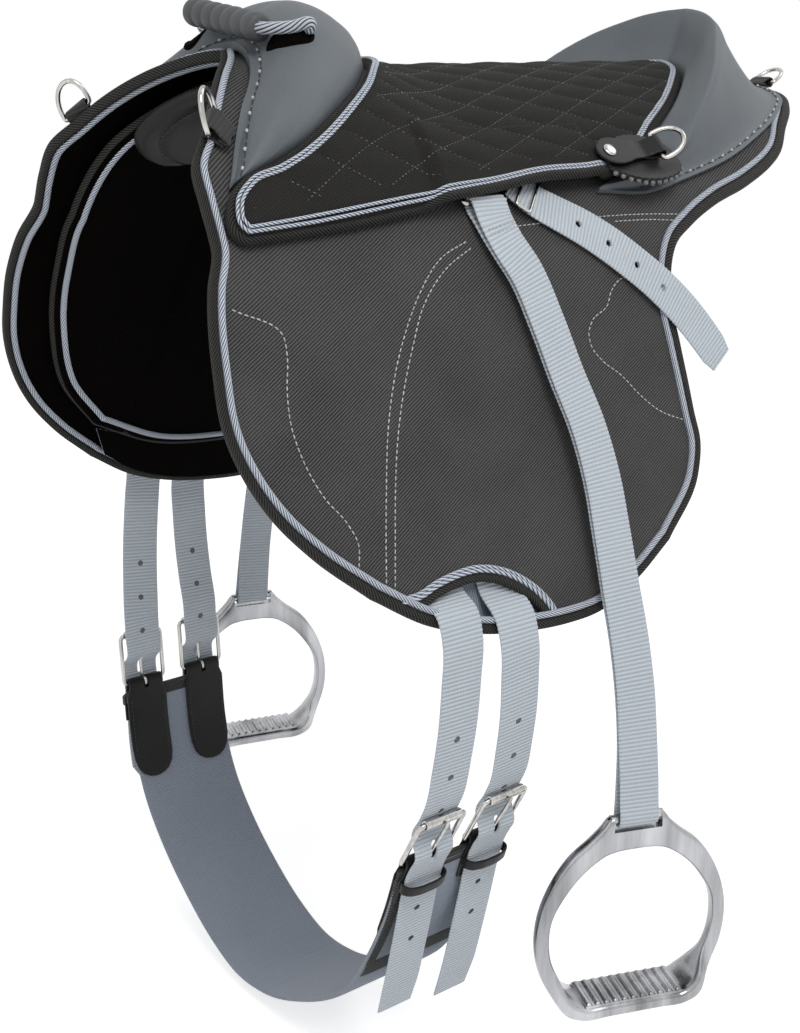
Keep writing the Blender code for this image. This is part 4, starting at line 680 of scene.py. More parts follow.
def grained(name, colour, light, roughness, cell, depth, **fixed):
    """Grained leather: cells of a Voronoi field for the pebbles, broad noise for creases and tone,
    and a roughness that follows the tone."""
    made, tree, shader = finish(name, colour, roughness, **fixed)
    place = step(tree, "TexCoord").outputs["Object"]
    pebbles = step(tree, "TexVoronoi", {"Vector": place, "Scale": 1 / cell}).outputs["Distance"]
    height = added(tree, pebbles, 0.5, speckle(tree, 60, 6))
    tone = added(tree, speckle(tree, 14, 3), 0.25, pebbles)
    tree.links.new(ramp(tree, tone, (0.30, colour), (0.85, light)), shader.inputs["Base Color"])
    wear = step(tree, "MapRange", {"Value": tone, "To Min": roughness - 0.06, "To Max": roughness + 0.10})
    tree.links.new(wear.outputs[0], shader.inputs["Roughness"])
    relief(tree, shader, height, depth)
    return made


GLOSS = grained("black_gloss_leather", (0.008, 0.008, 0.0083), (0.024, 0.024, 0.0248), 0.36, 0.0013, 0.00007,
                Specular_IOR_Level=0.17)


panel_grid, panel_edge = leaf(PANEL_FRONT, PANEL_FOOT, PANEL_REAR, 80, 110)
panel_ridge = np.linspace(0, 1, 80)[:, None] * 0.30
panel_round = rounded(np.minimum(panel_edge, panel_ridge), PANEL_ROUND)
panel_rim = np.concatenate([even(PANEL_FRONT, CORD_STEP), even(PANEL_FOOT, CORD_STEP)[1:],
                            even(PANEL_REAR, CORD_STEP)[-2::-1]])
for word, side in SIDES.items():
    flip = np.array([1, side, 1])
    x, v = panel_grid[..., 0], panel_grid[..., 1]
    seam = sum(np.exp(-((x - at - 0.25 * (v - 0.2)) / wide) ** 2) for at, wide in PANEL_SEAMS)
    middle = 0.5 * (PANEL_OUTER + PANEL_INNER)
    half = PANEL_THICK / 2 * panel_round
    top = skin(x, v, middle + half)
    bottom = skin(x, v, middle - half * (1 - 0.35 * seam))
    panel = shell(f"panel_pad_{word}", top * flip, bottom * flip, panel_grid, LINING, "lining", "saddle",
                  f"panel_{word}")
    path, up = beside(panel_rim[::2], BINDING_HALF - BINDING_LAP, middle, side)
    swept(f"panel_binding_{word}", path, up, tube_profile(BINDING_HALF, 0.34 * PANEL_THICK, 14, 0.8), BINDING,
          "lining", "saddle")
    path, up = beside(panel_rim, 2 * BINDING_HALF + CORD_INSET, PANEL_INNER - 0.0006, side)
    twisted(f"panel_cord_{word}", path, up, CORD_RADIUS, CORD_LAY, SILVER_CORD, "rope", "saddle")

share, pad_v = np.meshgrid(np.linspace(0, 1, 60), np.linspace(-PAD_HALF, PAD_HALF, 130), indexing="ij")
pad_front = np.interp(np.abs(pad_v), *through(PAD_FRONT)(np.linspace(0, 1, 200)).T)
pad_x = PAD_REAR + (pad_front - PAD_REAR) * share
pad_edge = np.minimum(np.minimum(pad_x - PAD_REAR, pad_front - pad_x), PAD_HALF - np.abs(pad_v))
pad_round = rounded(pad_edge, PAD_ROUND)
pad_top = PANEL_INNER - PAD_GAP
pad_middle = pad_top - PAD_THICK / 2
pad_channels = 1 - 0.22 * np.exp(-((pad_front - pad_x - PAD_SEAM) / 0.003) ** 2)
pad = shell("wither_arch_pad", skin(pad_x, pad_v, pad_middle + PAD_THICK / 2 * pad_round),
            skin(pad_x, pad_v, pad_middle - PAD_THICK / 2 * pad_round * pad_channels),
            np.stack([pad_x, pad_v], -1), GLOSS, "black_leather", "saddle", "wither_pad")
seam_v = np.linspace(-0.084, 0.084, 160)
seam_x = np.interp(np.abs(seam_v), *through(PAD_FRONT)(np.linspace(0, 1, 200)).T) - PAD_SEAM
DARK_THREAD = spun("dark_thread", (0.010, 0.010, 0.010), (0.045, 0.045, 0.043), 0.55, 300, 0.3, 0.7)
sewn("wither_pad_stitches", skin(seam_x, seam_v, pad_middle - 0.40 * PAD_THICK), -outward(seam_x, seam_v),
     "saddle", thread=DARK_THREAD)


# The webbing that carries the stirrups. A web across the tree under the seat ends in a loop each
# side, and a closed wire ring hangs in each loop. Woven polyester and nickel-plated steel.
HANGER_X, HANGER_WEB_WIDTH, HANGER_WEB_THICK, HANGER_LIFT = 0.072, 0.019, 0.0015, 0.0027
HANGER_EYE, HANGER_EYE_LENGTH = 0.1025, 0.0100
RING_WIRE, RING_HALF_WIDTH, RING_BAR, RING_BAR_RISE = 0.0016, 0.0155, 0.1250, 0.0062
WEB_THICK, PLAY, SEAM = 0.002, 0.0003, 0.0003
HANGER_EYE_RISE = HANGER_LIFT + HANGER_WEB_THICK + 2 * PLAY + RING_WIRE


def webbing(name, dark, light, pitch):
    """Woven webbing: ribs as sines along the strap, which match those in its mesh and are lighter on
     their crests and darker between (painted highlight and painted shade), fine warp yarns across it,
     and a little fading."""
    made, tree, shader = finish(name, light, 0.82, Sheen_Weight=0.25, Sheen_Roughness=0.4)
    place = cloth_place(tree)
    rib = waves(tree, place, (1, 0, 0), pitch)
    yarn = waves(tree, place, (0, 1, 0), 0.0011)
    weave = added(tree, rib, 0.30, yarn)
    weave = added(tree, weave, 0.9, speckle(tree, 1300))
    tone = step(tree, "MapRange", {"Value": weave, "From Min": -1.6, "From Max": 1.7}).outputs[0]
    tone = added(tree, tone, 0.25, speckle(tree, 18))
    # Ribs light on the crests of the mesh and dark between: painted highlight and painted shade.
    tree.links.new(ramp(tree, tone, (0.20, dark), (0.80, light)), shader.inputs["Base Color"])
    relief(tree, shader, weave, 0.00012)
    return made


def metal(name, colour, roughness, scratch, reflection_dark):
    """Plated or polished metal: roughness lifted by long fine noise, as wiping leaves it, and the base colour
    darkened in the same streaks: painted dark reflections.
    """
    made, tree, shader = finish(name, colour, roughness, 1.0)
    place = step(tree, "Mapping", {"Vector": step(tree, "TexCoord").outputs["Object"], "Scale": (1, 1, 0.12)})
    marks = speckle(tree, scratch, 8, place.outputs[0])
    rough = step(tree, "MapRange", {"Value": marks, "From Min": 0.3, "From Max": 0.8,
                                    "To Min": 0.7 * roughness, "To Max": 2.0 * roughness})
    tree.links.new(rough.outputs[0], shader.inputs["Roughness"])
    # Darker streaks in the base colour stand in for the dark things a polished metal reflects: painted
    # reflections.
    reflection_darkened = [reflection_dark * c for c in colour]
    tree.links.new(ramp(tree, marks, (0.30, reflection_darkened), (0.62, colour)), shader.inputs["Base Color"])
    relief(tree, shader, marks, 0.00002)
    return made


PLAIN_WEB = webbing("plain_webbing", (0.030, 0.030, 0.030), (0.100, 0.100, 0.100), 0.0025)
NICKEL = metal("nickel_plate", (0.56, 0.55, 0.53), 0.14, 420, 0.62)


def strap_profile(run, width, thick, rib, pitch, around=20):
    """Section of a strap at each step: a flat superellipse whose thickness swells with each rib."""
    base = 2 * tube_profile(0.5, 0.5, around, 1.0)
    a, b = 0.5 * powered(base[:, 0], 0.22), 0.5 * powered(base[:, 1], 0.45)
    wave = np.sin(2 * math.pi * run / pitch)
    ends = np.clip(np.minimum(run, run[-1] - run) / 0.0006, 0.55, 1)
    high = (thick + rib * (wave - 1)) * ends
    wide = np.broadcast_to(width, run.shape) + 0.6 * rib * wave
    return np.stack([wide[:, None] * a, high[:, None] * b], -1)


def strap(name, points, across, width, thick, *rest, rib=0.00030, pitch=0.0025, spacing=0.0006, closed=False,
          around=20):
    """A strap along a smooth path: its width lies along the vectors across, its face is across
    crossed with the way, and width may change from point to point."""
    points = np.asarray(points, float)
    across = np.broadcast_to(np.asarray(across, float), points.shape)
    width = np.broadcast_to(np.asarray(width, float), len(points))
    if closed:
        points, across = np.concatenate([points, points[:1]]), np.concatenate([across, across[:1]])
        width = np.r_[width, width[:1]]
    joined = even(points, spacing, closed)
    shares = through(points).shares
    fine_shares = lengths(joined) / (lengths(joined)[-1] * (len(joined) / (len(joined) - 1) if closed else 1))
    turned = np.stack([np.interp(fine_shares, shares, across[:, k]) for k in range(3)], -1)
    wide = np.interp(fine_shares, shares, width)
    way = ways_along(joined, closed)
    up = np.cross(turned, way)
    profile = strap_profile(lengths(joined), wide, thick, rib, pitch, around)
    return swept(name, joined, up, profile, *rest, closed=closed, sharp=60)


lap = HANGER_LIFT + HANGER_WEB_THICK * 1.5 + 2 * SEAM
hanger_low = HANGER_LIFT + HANGER_WEB_THICK / 2
hanger_high = 2 * HANGER_EYE_RISE - hanger_low
eye_front, eye_back = HANGER_EYE + HANGER_EYE_LENGTH / 2, HANGER_EYE - HANGER_EYE_LENGTH / 2
t = HANGER_WEB_THICK
half_web = [(v, hanger_low) for v in np.linspace(0, eye_back, 9)][1:] + [
    (eye_front, hanger_low), (eye_front + t, hanger_low + t), (eye_front + t, hanger_high - t),
    (eye_front, hanger_high), (eye_back, hanger_high), (eye_back - 2 * t, hanger_high - 2 * t),
    (eye_back - 3 * t, lap), (eye_back - 6 * t, lap)]
web_route = [(-v, h) for v, h in reversed(half_web)] + [(0, hanger_low)] + half_web
strap("hanger_webbing", [skin(HANGER_X, v, h) for v, h in web_route],
      [unit(skin(HANGER_X + 0.012, v) - skin(HANGER_X - 0.012, v)) for v, _ in web_route],
      HANGER_WEB_WIDTH, t, PLAIN_WEB, "plain_web", "saddle", "hanger_web", rib=0.0001)


def wire(name, corners, up, radius, bend, *rest, around=14, closed=True):
    """Round wire bent through corners: each corner is cut back by the bend and rounded by a parabola
    between the cuts, and a circle is carried along it."""
    corners = np.asarray(corners, float)
    before, after = np.roll(corners, 1, 0), np.roll(corners, -1, 0)
    if not closed:
        before[0], after[-1] = corners[0], corners[-1]
    enter, leave = (corners + (other - corners) * np.minimum(
        1, bend / np.maximum(1e-9, np.linalg.norm(other - corners, axis=1)))[:, None]
        for other in (before, after))
    t = np.linspace(0, 1, 9)[:, None]
    runs = [a * (1 - t) ** 2 + 2 * c * t * (1 - t) + b * t * t for a, c, b in zip(enter, corners, leave)]
    if not closed:
        runs[0], runs[-1] = corners[:1], corners[-1:]
    path = np.concatenate(runs)
    return swept(name, path, up, tube_profile(radius, radius, around), *rest, closed=closed, sharp=80)


def ring_bar(side):
    """Middle of the stirrup ring's lower bar, which the leather hangs from."""
    return skin(HANGER_X, RING_BAR * side, RING_BAR_RISE)


for word, side in SIDES.items():
    top, foot = skin(HANGER_X, HANGER_EYE * side, HANGER_EYE_RISE), ring_bar(side)
    climb = unit(skin(HANGER_X + 0.012, HANGER_EYE * side) - skin(HANGER_X - 0.012, HANGER_EYE * side))
    forward = np.array([1.0, 0, 0])
    corners = [top - climb * RING_HALF_WIDTH, top + climb * RING_HALF_WIDTH,
               foot + forward * RING_HALF_WIDTH, foot - forward * RING_HALF_WIDTH]
    wire(f"ring_{word}", corners, np.cross(climb, foot - top), RING_WIRE, 0.0035, NICKEL, "nickel",
         f"hanger_{word}", f"stirrup_ring_{word}")


# The seat. A quilted cover over foam, with a skirt down each side whose front runs forward to a
# corner. Fine black cloth sewn through in diamonds, edged with the twisted cords over ribbed tape.
POMMEL_SEATWARD = [(0.082, 0), (0.091, 0.018), (0.106, 0.037), (0.127, 0.061), (0.147, 0.077),
                   (0.163, 0.087), (0.182, 0.096), (0.204, 0.104), (0.226, 0.110)]
CANTLE_SEATWARD = [(-0.190, 0), (-0.176, 0.024), (-0.152, 0.045), (-0.124, 0.066), (-0.098, 0.082),
                   (-0.072, 0.097), (-0.047, 0.110), (-0.024, 0.1185)]
SKIRT_EDGE = [(-0.0455, 0.1085), (-0.034, 0.1125), (-0.014, 0.1150), (0.029, 0.1160), (0.074, 0.1215),
              (0.152, 0.129), (0.205, 0.1325), (0.234, 0.134)]
SKIRT_CORNER = [(0.2365, 0.1205), (0.2385, 0.128), (0.234, 0.134)]
SEAT_CROWN, SKIRT_RISE, SEAT_LIFT, SKIRT_LIFT = 0.022, 0.012, 0.0052, 0.0010
SKIRT_FROM, SKIRT_TO, SKIRT_AT, SKIRT_THICK = 0.092, 0.106, 0.125, 0.0045
POCKET_RISE, POCKET_X, POCKET_V, POCKET_RAMPS = 0.0120, (-0.038, 0.122), 0.082, (0.020, 0.012)
QUILT_PITCH, QUILT_PUFF, QUILT_LEAN = 0.0184, 0.0016, math.radians(23)
QUILT_STEP, QUILT_CLEAR = 0.0030, 0.0095
SEAT_BORDER, SEAT_ROLL = 0.0012, 0.005
SEAT_BINDING, SEAT_BINDING_LIFT, SEAT_LAY = (0.0022, 0.0038), 0.0007, 0.0088
SEAT_CORDS = [(0.0, 0.0011, 0.0006), (0.0018, 0.0010, 0.0008)]
CORD_BACK = {"cantle": 0.0058, "skirt": 0.0017, "pommel": 0.0034}

QUILT = twill("quilted_cloth", (0.006, 0.0058, 0.0056), (0.033, 0.0315, 0.0295), 0.0010, 0.2, 0.03)
QUILT_THREAD = spun("quilt_thread", (0.04, 0.04, 0.038), (0.18, 0.18, 0.172), 0.6, 260)


def quilt_lines(x, v):
    """How far each place is along the two families of sewn lines, counted in pitches."""
    c, s = math.cos(QUILT_LEAN), math.sin(QUILT_LEAN)
    return (x * s + v * c) / QUILT_PITCH, (x * s - v * c) / QUILT_PITCH


def seat_foot(x, v):
    """Height of the seat's underside: on the tree, thin at the skirt, and up over the stirrup ring."""
    over = smooth(np.clip(np.minimum(x - POCKET_X[0], POCKET_X[1] - x) / POCKET_RAMPS[0], 0, 1))
    over = over * np.clip((np.abs(v) - POCKET_V) / POCKET_RAMPS[1] + 1, 0, 1)
    return np.maximum(np.interp(np.abs(v), [SKIRT_FROM, SKIRT_TO], [SEAT_LIFT, SKIRT_LIFT]),
                      POCKET_RISE * over)


def seat_crown(x, v):
    """Height of the unsewn cover: the crown eases down to the skirt by a smooth step of v, and stays
    a cloth's and foam's thickness over the underside."""
    share = np.clip(np.abs(v) / SKIRT_AT, 0, 1)
    top = SEAT_CROWN + (SKIRT_RISE - SEAT_CROWN) * smooth(share)
    return np.maximum(top, seat_foot(x, v) + SKIRT_THICK)


def seat_cover(x, v, edge):
    """Height of the cover at a distance from its border: rolled down over the last millimetres by a
    quarter circle, and further in puffed by the product of |sin| over both families of sewn lines."""
    foot = seat_foot(x, v)
    one, two = quilt_lines(x, v)
    puff = (np.abs(np.sin(math.pi * one)) * np.abs(np.sin(math.pi * two))) ** 0.6
    sewn_in = np.clip((edge - 0.009) / 0.010, 0, 1)
    rolled = 0.45 + 0.55 * rounded(edge, SEAT_ROLL)
    return foot + (seat_crown(x, v) - foot) * rolled + QUILT_PUFF * sewn_in * puff


seatward = [(x - SEAT_BORDER, v + SEAT_BORDER) for x, v in POMMEL_SEATWARD]
seat_front = through([(seatward[0][0], 0)] + seatward[1:] + SKIRT_CORNER)
seat_rear = through([(x + SEAT_BORDER, v) for x, v in CANTLE_SEATWARD[:6]] + [SKIRT_EDGE[0]])
seat_skirt = through(SKIRT_EDGE)


def both_ways(curve):
    """The near half of an edge and its mirror image, as one curve from the off side to the near."""
    def at(t):
        v = np.abs(2 * np.asarray(t, float) - 1)
        return curve(v) * np.stack([np.ones_like(v), np.sign(2 * np.asarray(t, float) - 1)], -1)
    return at


s, t = np.meshgrid(np.linspace(0, 1, 150), np.linspace(0, 1, 221), indexing="ij")
seat_grid = patch(both_ways(seat_rear), both_ways(seat_front), lambda k: seat_skirt(k) * (1, -1), seat_skirt,
                  s, t)
seat_edge = np.minimum(np.minimum(s, 1 - s) * 0.28, np.minimum(t, 1 - t) * 0.26)
x, v = seat_grid[..., 0], seat_grid[..., 1]
seat = shell("seat_cover", skin(x, v, seat_cover(x, v, seat_edge)), skin(x, v, seat_foot(x, v)), seat_grid,
             QUILT, "quilted_cover", "saddle", "seat")


def inside(x, v, outline):
    """Whether places lie inside an outline, by counting its crossings of the line to their right."""
    a, b = outline, np.roll(outline, -1, 0)
    crosses = (a[:, 1] > v[:, None]) != (b[:, 1] > v[:, None])
    rise = np.where(np.abs(b[:, 1] - a[:, 1]) < 1e-12, 1e-12, b[:, 1] - a[:, 1])
    reach = a[:, 0] + (b[:, 0] - a[:, 0]) * (v[:, None] - a[:, 1]) / rise
    return (np.sum(crosses & (x[:, None] < reach), axis=1) % 2) == 1


k = np.linspace(0, 1, 400)
near_rim = np.concatenate([seat_rear(k), seat_skirt(k)[1:], seat_front(k)[-2::-1]])
cantle_back, skirt_back, pommel_back = CORD_BACK.values()
near_back = np.r_[np.interp(k, [0, 0.75, 1], [cantle_back, cantle_back, skirt_back]),
                  np.full(399, skirt_back),
                  np.interp(k[-2::-1], [0, 0.70, 0.92], [pommel_back, pommel_back, skirt_back])]
rim = np.concatenate([near_rim, near_rim[-2::-1] * (1, -1)])
rim_run = lengths(rim)
count = int(rim_run[-1] / CORD_STEP)
wanted = np.arange(count) * rim_run[-1] / count
cord_back = np.interp(wanted, rim_run, np.r_[near_back, near_back[-2::-1]])
rim = np.stack([np.interp(wanted, rim_run, rim[:, c]) for c in range(2)], -1)
c, s = math.cos(QUILT_LEAN), math.sin(QUILT_LEAN)


def on_crown(x, v):
    """Places just over the unsewn cover, where the quilting's thread lies."""
    return skin(x, v, seat_crown(x, v) + 0.0002)


for family, turn in (("left", 1), ("right", -1)):
    paths = []
    for number in range(-22, 30):
        along = np.arange(-0.32, 0.32, QUILT_STEP)
        x = number * QUILT_PITCH * s + along * c
        v = turn * (number * QUILT_PITCH * c - along * s)
        gap = np.min(np.hypot(x[:, None] - rim[:, 0], v[:, None] - rim[:, 1]), axis=1)
        keep = inside(x, v, rim) & (gap > QUILT_CLEAR)
        if keep.any():
            paths.append(np.stack([x[keep], v[keep]], -1))
    x, v = np.concatenate(paths).T
    at = on_crown(x, v)
    way, top = unit(on_crown(x + 0.001 * c, v - 0.001 * s * turn) - at), outward(x, v)
    beads(f"quilting_{family}", at, way, unit(np.cross(way, top)), top,
          [(-0.00075, 0.000168), (0, 0.00042), (0.00075, 0.000168)], 4, QUILT_THREAD, "saddle")

rim_way = unit(np.roll(rim, -1, 0) - np.roll(rim, 1, 0))
rim_turn = np.sign(np.sum(rim[:, 0] * np.roll(rim[:, 1], -1) - np.roll(rim[:, 0], -1) * rim[:, 1]))
rim_inward = rim_turn * np.stack([-rim_way[:, 1], rim_way[:, 0]], -1)


def on_cover(inset, lift):
    """The seat's rim moved inward in (x, v), at the cover's height there, and the skin's normals."""
    x, v = (rim + inset[:, None] * rim_inward).T
    return skin(x, v, seat_cover(x, v, inset) + lift), outward(x, v)


for row, (inward, radius, lift) in enumerate(SEAT_CORDS):
    path, up = on_cover(cord_back + inward, lift)
    twisted(f"seat_cord_{row}", path, up, radius, SEAT_LAY, SILVER_CORD, "rope", "saddle", strands=3,
            deep=0.3, closed=True, around=24)
wall = 0.5 * (seat_foot(rim[:, 0], rim[:, 1]) + seat_cover(rim[:, 0], rim[:, 1], 0.0)) + SEAT_BINDING_LIFT
swept("seat_binding", skin(rim[::2, 0], rim[::2, 1], wall[::2]), up[::2],
      tube_profile(*SEAT_BINDING, 14, 0.8), BINDING, "cordura", "saddle", closed=True)


# The pommel and the cantle. Grey synthetic leather moulded over foam swells, front and rear, each
# with a flat flange sewn down in black thread whose holes show pale.
POMMEL_OUTER = [(0.1685, 0), (0.173, 0.020), (0.181, 0.040), (0.192, 0.057), (0.204, 0.071),
                (0.213, 0.083), (0.220, 0.093), (0.227, 0.104), (0.232, 0.1115)]
POMMEL_HEIGHT = [0.0365, 0.0350, 0.0305, 0.0250, 0.0215, 0.018, 0.0145, 0.011, 0.008]
POMMEL_PROFILE = [(0.0, 0.42), (0.04, 0.62), (0.13, 0.84), (0.27, 0.96), (0.46, 1.0), (0.60, 0.94),
                  (0.73, 0.77), (0.82, 0.60), (0.89, 0.38), (0.93, 0.22), (1.0, 0.17)]
CANTLE_OUTER = [(-0.287, 0), (-0.273, 0.036), (-0.241, 0.062), (-0.196, 0.086), (-0.150, 0.105),
                (-0.104, 0.117), (-0.060, 0.1250), (-0.021, 0.1215)]
CANTLE_RIDGE = [0.16, 0.13, 0.15, 0.22, 0.32, 0.50, 0.5, 0.5]
CANTLE_HEIGHT = [0.0575, 0.0555, 0.0505, 0.0415, 0.0285, 0.0165, 0.0110, 0.006]
CANTLE_DISH = [(0, 0), (0.35, 0.30), (0.75, 0.80), (0.95, 0.965)]
CANTLE_BACK = [(0.25, 0.72), (0.50, 0.40), (0.78, 0.12), (1, 0)]
SWELL_LIFT, FLANGE_THICK, FLANGE_WIDTH = 0.0016, 0.0045, 0.010

MOULDED = grained("moulded_grey_leather", (0.090, 0.105, 0.118), (0.143, 0.161, 0.177), 0.52, 0.0009, 0.00010)


def eased(values):
    """A smooth run through values at even shares, as a function of the share."""
    fine = through(np.c_[np.linspace(0, 1, len(values)), values])(np.linspace(0, 1, 600))
    return lambda share: np.interp(share, fine[:, 0], fine[:, 1])


def pommel_profile(_share, tall, _width):
    """The pommel's section: round over the top, then a crease and the flat sewn flange."""
    return [(s, h * tall if s < 0.9 else max(h * tall, 0.0035)) for s, h in POMMEL_PROFILE]


cantle_ridge = eased(CANTLE_RIDGE)


def cantle_profile(share, tall, width):
    """The cantle's section: a dish up to the ridge, a long hollow back down to the flat flange."""
    ridge = float(cantle_ridge(share))
    low = min(0.42 * tall, SEAT_CROWN)
    flange = 1 - min(FLANGE_WIDTH / width, 0.35)
    slope = tall - FLANGE_THICK
    dish = [(ridge * s, low + (tall - low) * h) for s, h in CANTLE_DISH]
    back = [(ridge + (flange - ridge) * s, FLANGE_THICK + slope * h) for s, h in CANTLE_BACK]
    return dish + [(ridge, tall), (ridge + 0.05, tall * 0.985)] + back + [(1.0, FLANGE_THICK)]


def sections(seatward, outer, height, profile_at, places):
    """A swell's sections at places from -1, off, to 1, near: the side, the end on the seat's edge, the
    way to the outer edge, and the profile's curve, raised to the height there."""
    knots = np.linspace(0, 1, len(height))
    inner_edge, outer_edge, tall_at = through(seatward), through(outer), eased(height)
    for place in places:
        share = abs(place)
        a = inner_edge(np.interp(share, knots, inner_edge.shares))
        b = outer_edge(np.interp(share, knots, outer_edge.shares))
        profile = through(profile_at(share, float(tall_at(share)), np.linalg.norm(b - a)))
        yield (1 if place >= 0 else -1), a, b - a, profile


def swell_piece(name, swell, across, along):
    """A swell closed by its foot a little above the flaps."""
    top, low = [], []
    for side, a, reach, profile in sections(*swell, np.linspace(-1, 1, across)):
        steps = profile(np.linspace(0, 1, along))
        over, under = a + reach * steps[:, :1], a + reach * np.linspace(0, 1, along)[:, None]
        top.append(skin(over[:, 0], over[:, 1] * side, steps[:, 1]))
        low.append(skin(under[:, 0], under[:, 1] * side, SWELL_LIFT))
    top = np.array(top)
    return shell(f"{name}_swell", top, np.array(low), top[..., :2], MOULDED, "moulded_grey", "saddle", name,
                 sharp=60)


POMMEL = (POMMEL_SEATWARD, POMMEL_OUTER, POMMEL_HEIGHT, pommel_profile)
CANTLE = (CANTLE_SEATWARD, CANTLE_OUTER, CANTLE_HEIGHT, cantle_profile)
swell_piece("pommel", POMMEL, 121, 60)
swell_piece("cantle", CANTLE, 161, 80)

PIN_THREAD = spun("pin_thread", (0.36, 0.38, 0.41), (0.74, 0.76, 0.80), 0.5, 500, 0.3, 0.7)


def flange_line(swell, back, places):
    """Path along a swell's flange, a distance back from its sewn edge along the section, and the
    face's normals: the way crossed with the climb of the section."""
    here, above = [], []
    for side, a, reach, profile in sections(*swell, places):
        fine = profile(np.linspace(0, 1, 200))
        run = lengths(fine * (np.linalg.norm(reach), 1))
        for found, inward in ((here, back), (above, back + 0.001)):
            s, h = (np.interp(run[-1] - inward, run, fine[:, k]) for k in (0, 1))
            xv = a + reach * s
            found.append(skin(xv[0], xv[1] * side, h))
    here, above = np.array(here), np.array(above)
    up = unit(np.cross(unit(np.gradient(here, axis=0)), above - here))
    up = up * np.sign(up[:, 2:])
    return here + 0.0001 * up, up


for name, swell, seam, end, count in (("pommel", POMMEL, 0.0075, 0.96, 160),
                                      ("cantle", CANTLE, 0.0050, 0.86, 200)):
    line = flange_line(swell, seam, np.linspace(-end, end, count))
    sewn(f"{name}_stitches_dark", *line, "saddle", 0.0066, 0.0046, 0.0008, DARK_THREAD)
    sewn(f"{name}_stitches_pale", *line, "saddle", 0.0132, 0.0021, 0.0017, PIN_THREAD, 0.4)


# The handle. A twisted rope comes out of an eyelet on each side of the pommel and runs through a
# ribbed grip that lies across its front. Silver-blue rope, grip moulded in dark grey.
GRIP_NEAR, GRIP_OFF = np.array((0.1740, 0.0420, 0.0515)), np.array((0.1715, -0.0390, 0.0610))
GRIP_RADIUS, GRIP_GROOVE, GRIP_RIBS = 0.0082, 0.0068, 7
ROPE, ROPE_CLEAR, ROPE_RISE, ROPE_LAY = 0.0034, 0.0005, 0.003, -0.034
HANDLE_END, ROPE_IN_GRIP, ROPE_LEAD = (0.153, 0.0475), 0.020, 0.002
HOLE_TOWARDS, HOLE_LONG, HOLE_WIDE, HOLE_BACK = (0.1640, 0.0430), 0.0120, 0.0092, 0.0035
HOLE_LIP, HOLE_SINK = (0.0004, 0.0011), 0.0010

ROPE_FIBRE = cord_finish("rope_fibre", (0.006, 0.006, 0.007), (0.600, 0.640, 0.720))
GRIP_SKIN = grained("grip_skin", (0.045, 0.050, 0.054), (0.080, 0.087, 0.093), 0.5, 0.0010, 0.00010)


def pommel_height(x, v):
    """Height of the pommel's face over places on the skin: of all the sections, the one that passes
    nearest to each, and its profile's height there."""
    knots = np.linspace(0, 1, len(POMMEL_HEIGHT))
    inner_edge, outer_edge = through(POMMEL_SEATWARD), through(POMMEL_OUTER)
    share = np.linspace(0, 1, 401)
    a = inner_edge(np.interp(share, knots, inner_edge.shares))
    b = outer_edge(np.interp(share, knots, outer_edge.shares))
    place = np.stack(np.broadcast_arrays(x, v), -1)[..., None, :]
    s = np.clip(np.sum((place - a) * (b - a), -1) / np.sum((b - a) ** 2, -1), 0, 1)
    best = np.argmin(np.linalg.norm(a + s[..., None] * (b - a) - place, axis=-1), axis=-1)
    fine = through(POMMEL_PROFILE)(np.linspace(0, 1, 300))
    chosen = np.take_along_axis(s, best[..., None], -1)[..., 0]
    return eased(POMMEL_HEIGHT)(share[best]) * np.interp(chosen, fine[:, 0], fine[:, 1])


def round_shell(name, upper, lower, *rest, sharp=45):
    """A closed sheet between two grids that run round and then outward, with hub and rim closed."""
    rows, columns = upper.shape[:2]
    count = rows * columns
    quads, i, j = lattice(rows, columns, True)
    rim_row, hub_row = np.arange(rows) * columns + columns - 1, np.arange(rows) * columns
    walls = np.stack([rim_row, np.roll(rim_row, -1), np.roll(rim_row, -1) + count, rim_row + count], -1)
    faces = [np.concatenate([quads, quads[:, ::-1] + count]), walls, hub_row[None],
             hub_row[None, ::-1] + count]
    where = upper[i % rows, j][..., :2]
    return make(name, np.concatenate([upper.reshape(-1, 3), lower.reshape(-1, 3)]), faces,
                np.concatenate([where, where[:, ::-1]]), *rest, sharp=sharp)


x, v = HANDLE_END
here = skin(x, v, pommel_height(x, v))
ahead = skin(x + 0.002, v, pommel_height(x + 0.002, v))
over = skin(x, v + 0.002, pommel_height(x, v + 0.002))
rope_up = unit(np.cross(ahead - here, over - here))
rope_up = rope_up if rope_up[2] > 0 else -rope_up
rope_ends = {}
for word, side in SIDES.items():
    flip = np.array([1, side, 1])
    turn, share = np.meshgrid(np.linspace(0, 2 * math.pi, 64, endpoint=False), np.linspace(0.02, 1, 30),
                              indexing="ij")
    long_way = unit(np.array(HOLE_TOWARDS) - HANDLE_END)
    wide_way = np.array([-long_way[1], long_way[0]])
    middle = np.array(HANDLE_END) + long_way * (HOLE_LONG - HOLE_BACK)
    spot = (middle + (HOLE_LONG * share * np.cos(turn))[..., None] * long_way
            + (HOLE_WIDE * share * np.sin(turn))[..., None] * wide_way)
    lip = HOLE_LIP[0] + HOLE_LIP[1] * np.exp(-((share - 0.90) / 0.05) ** 2)
    face = pommel_height(spot[..., 0], spot[..., 1])
    round_shell(f"rope_hole_{word}", skin(spot[..., 0], spot[..., 1] * side, face + lip),
                skin(spot[..., 0], spot[..., 1] * side, face - HOLE_SINK), LINING, "black_leather", "saddle",
                f"eyelet_{word}")
    rope_ends[word] = here * flip, rope_up * flip
(near_end, near_up), (off_end, off_up) = rope_ends.values()
near_end, off_end = near_end + near_up * (ROPE + ROPE_CLEAR), off_end + off_up * (ROPE + ROPE_CLEAR)
grip_way = unit(GRIP_OFF - GRIP_NEAR)
bend_near = 0.5 * (near_end + GRIP_NEAR) + (-0.001, 0.005, 0.0005)
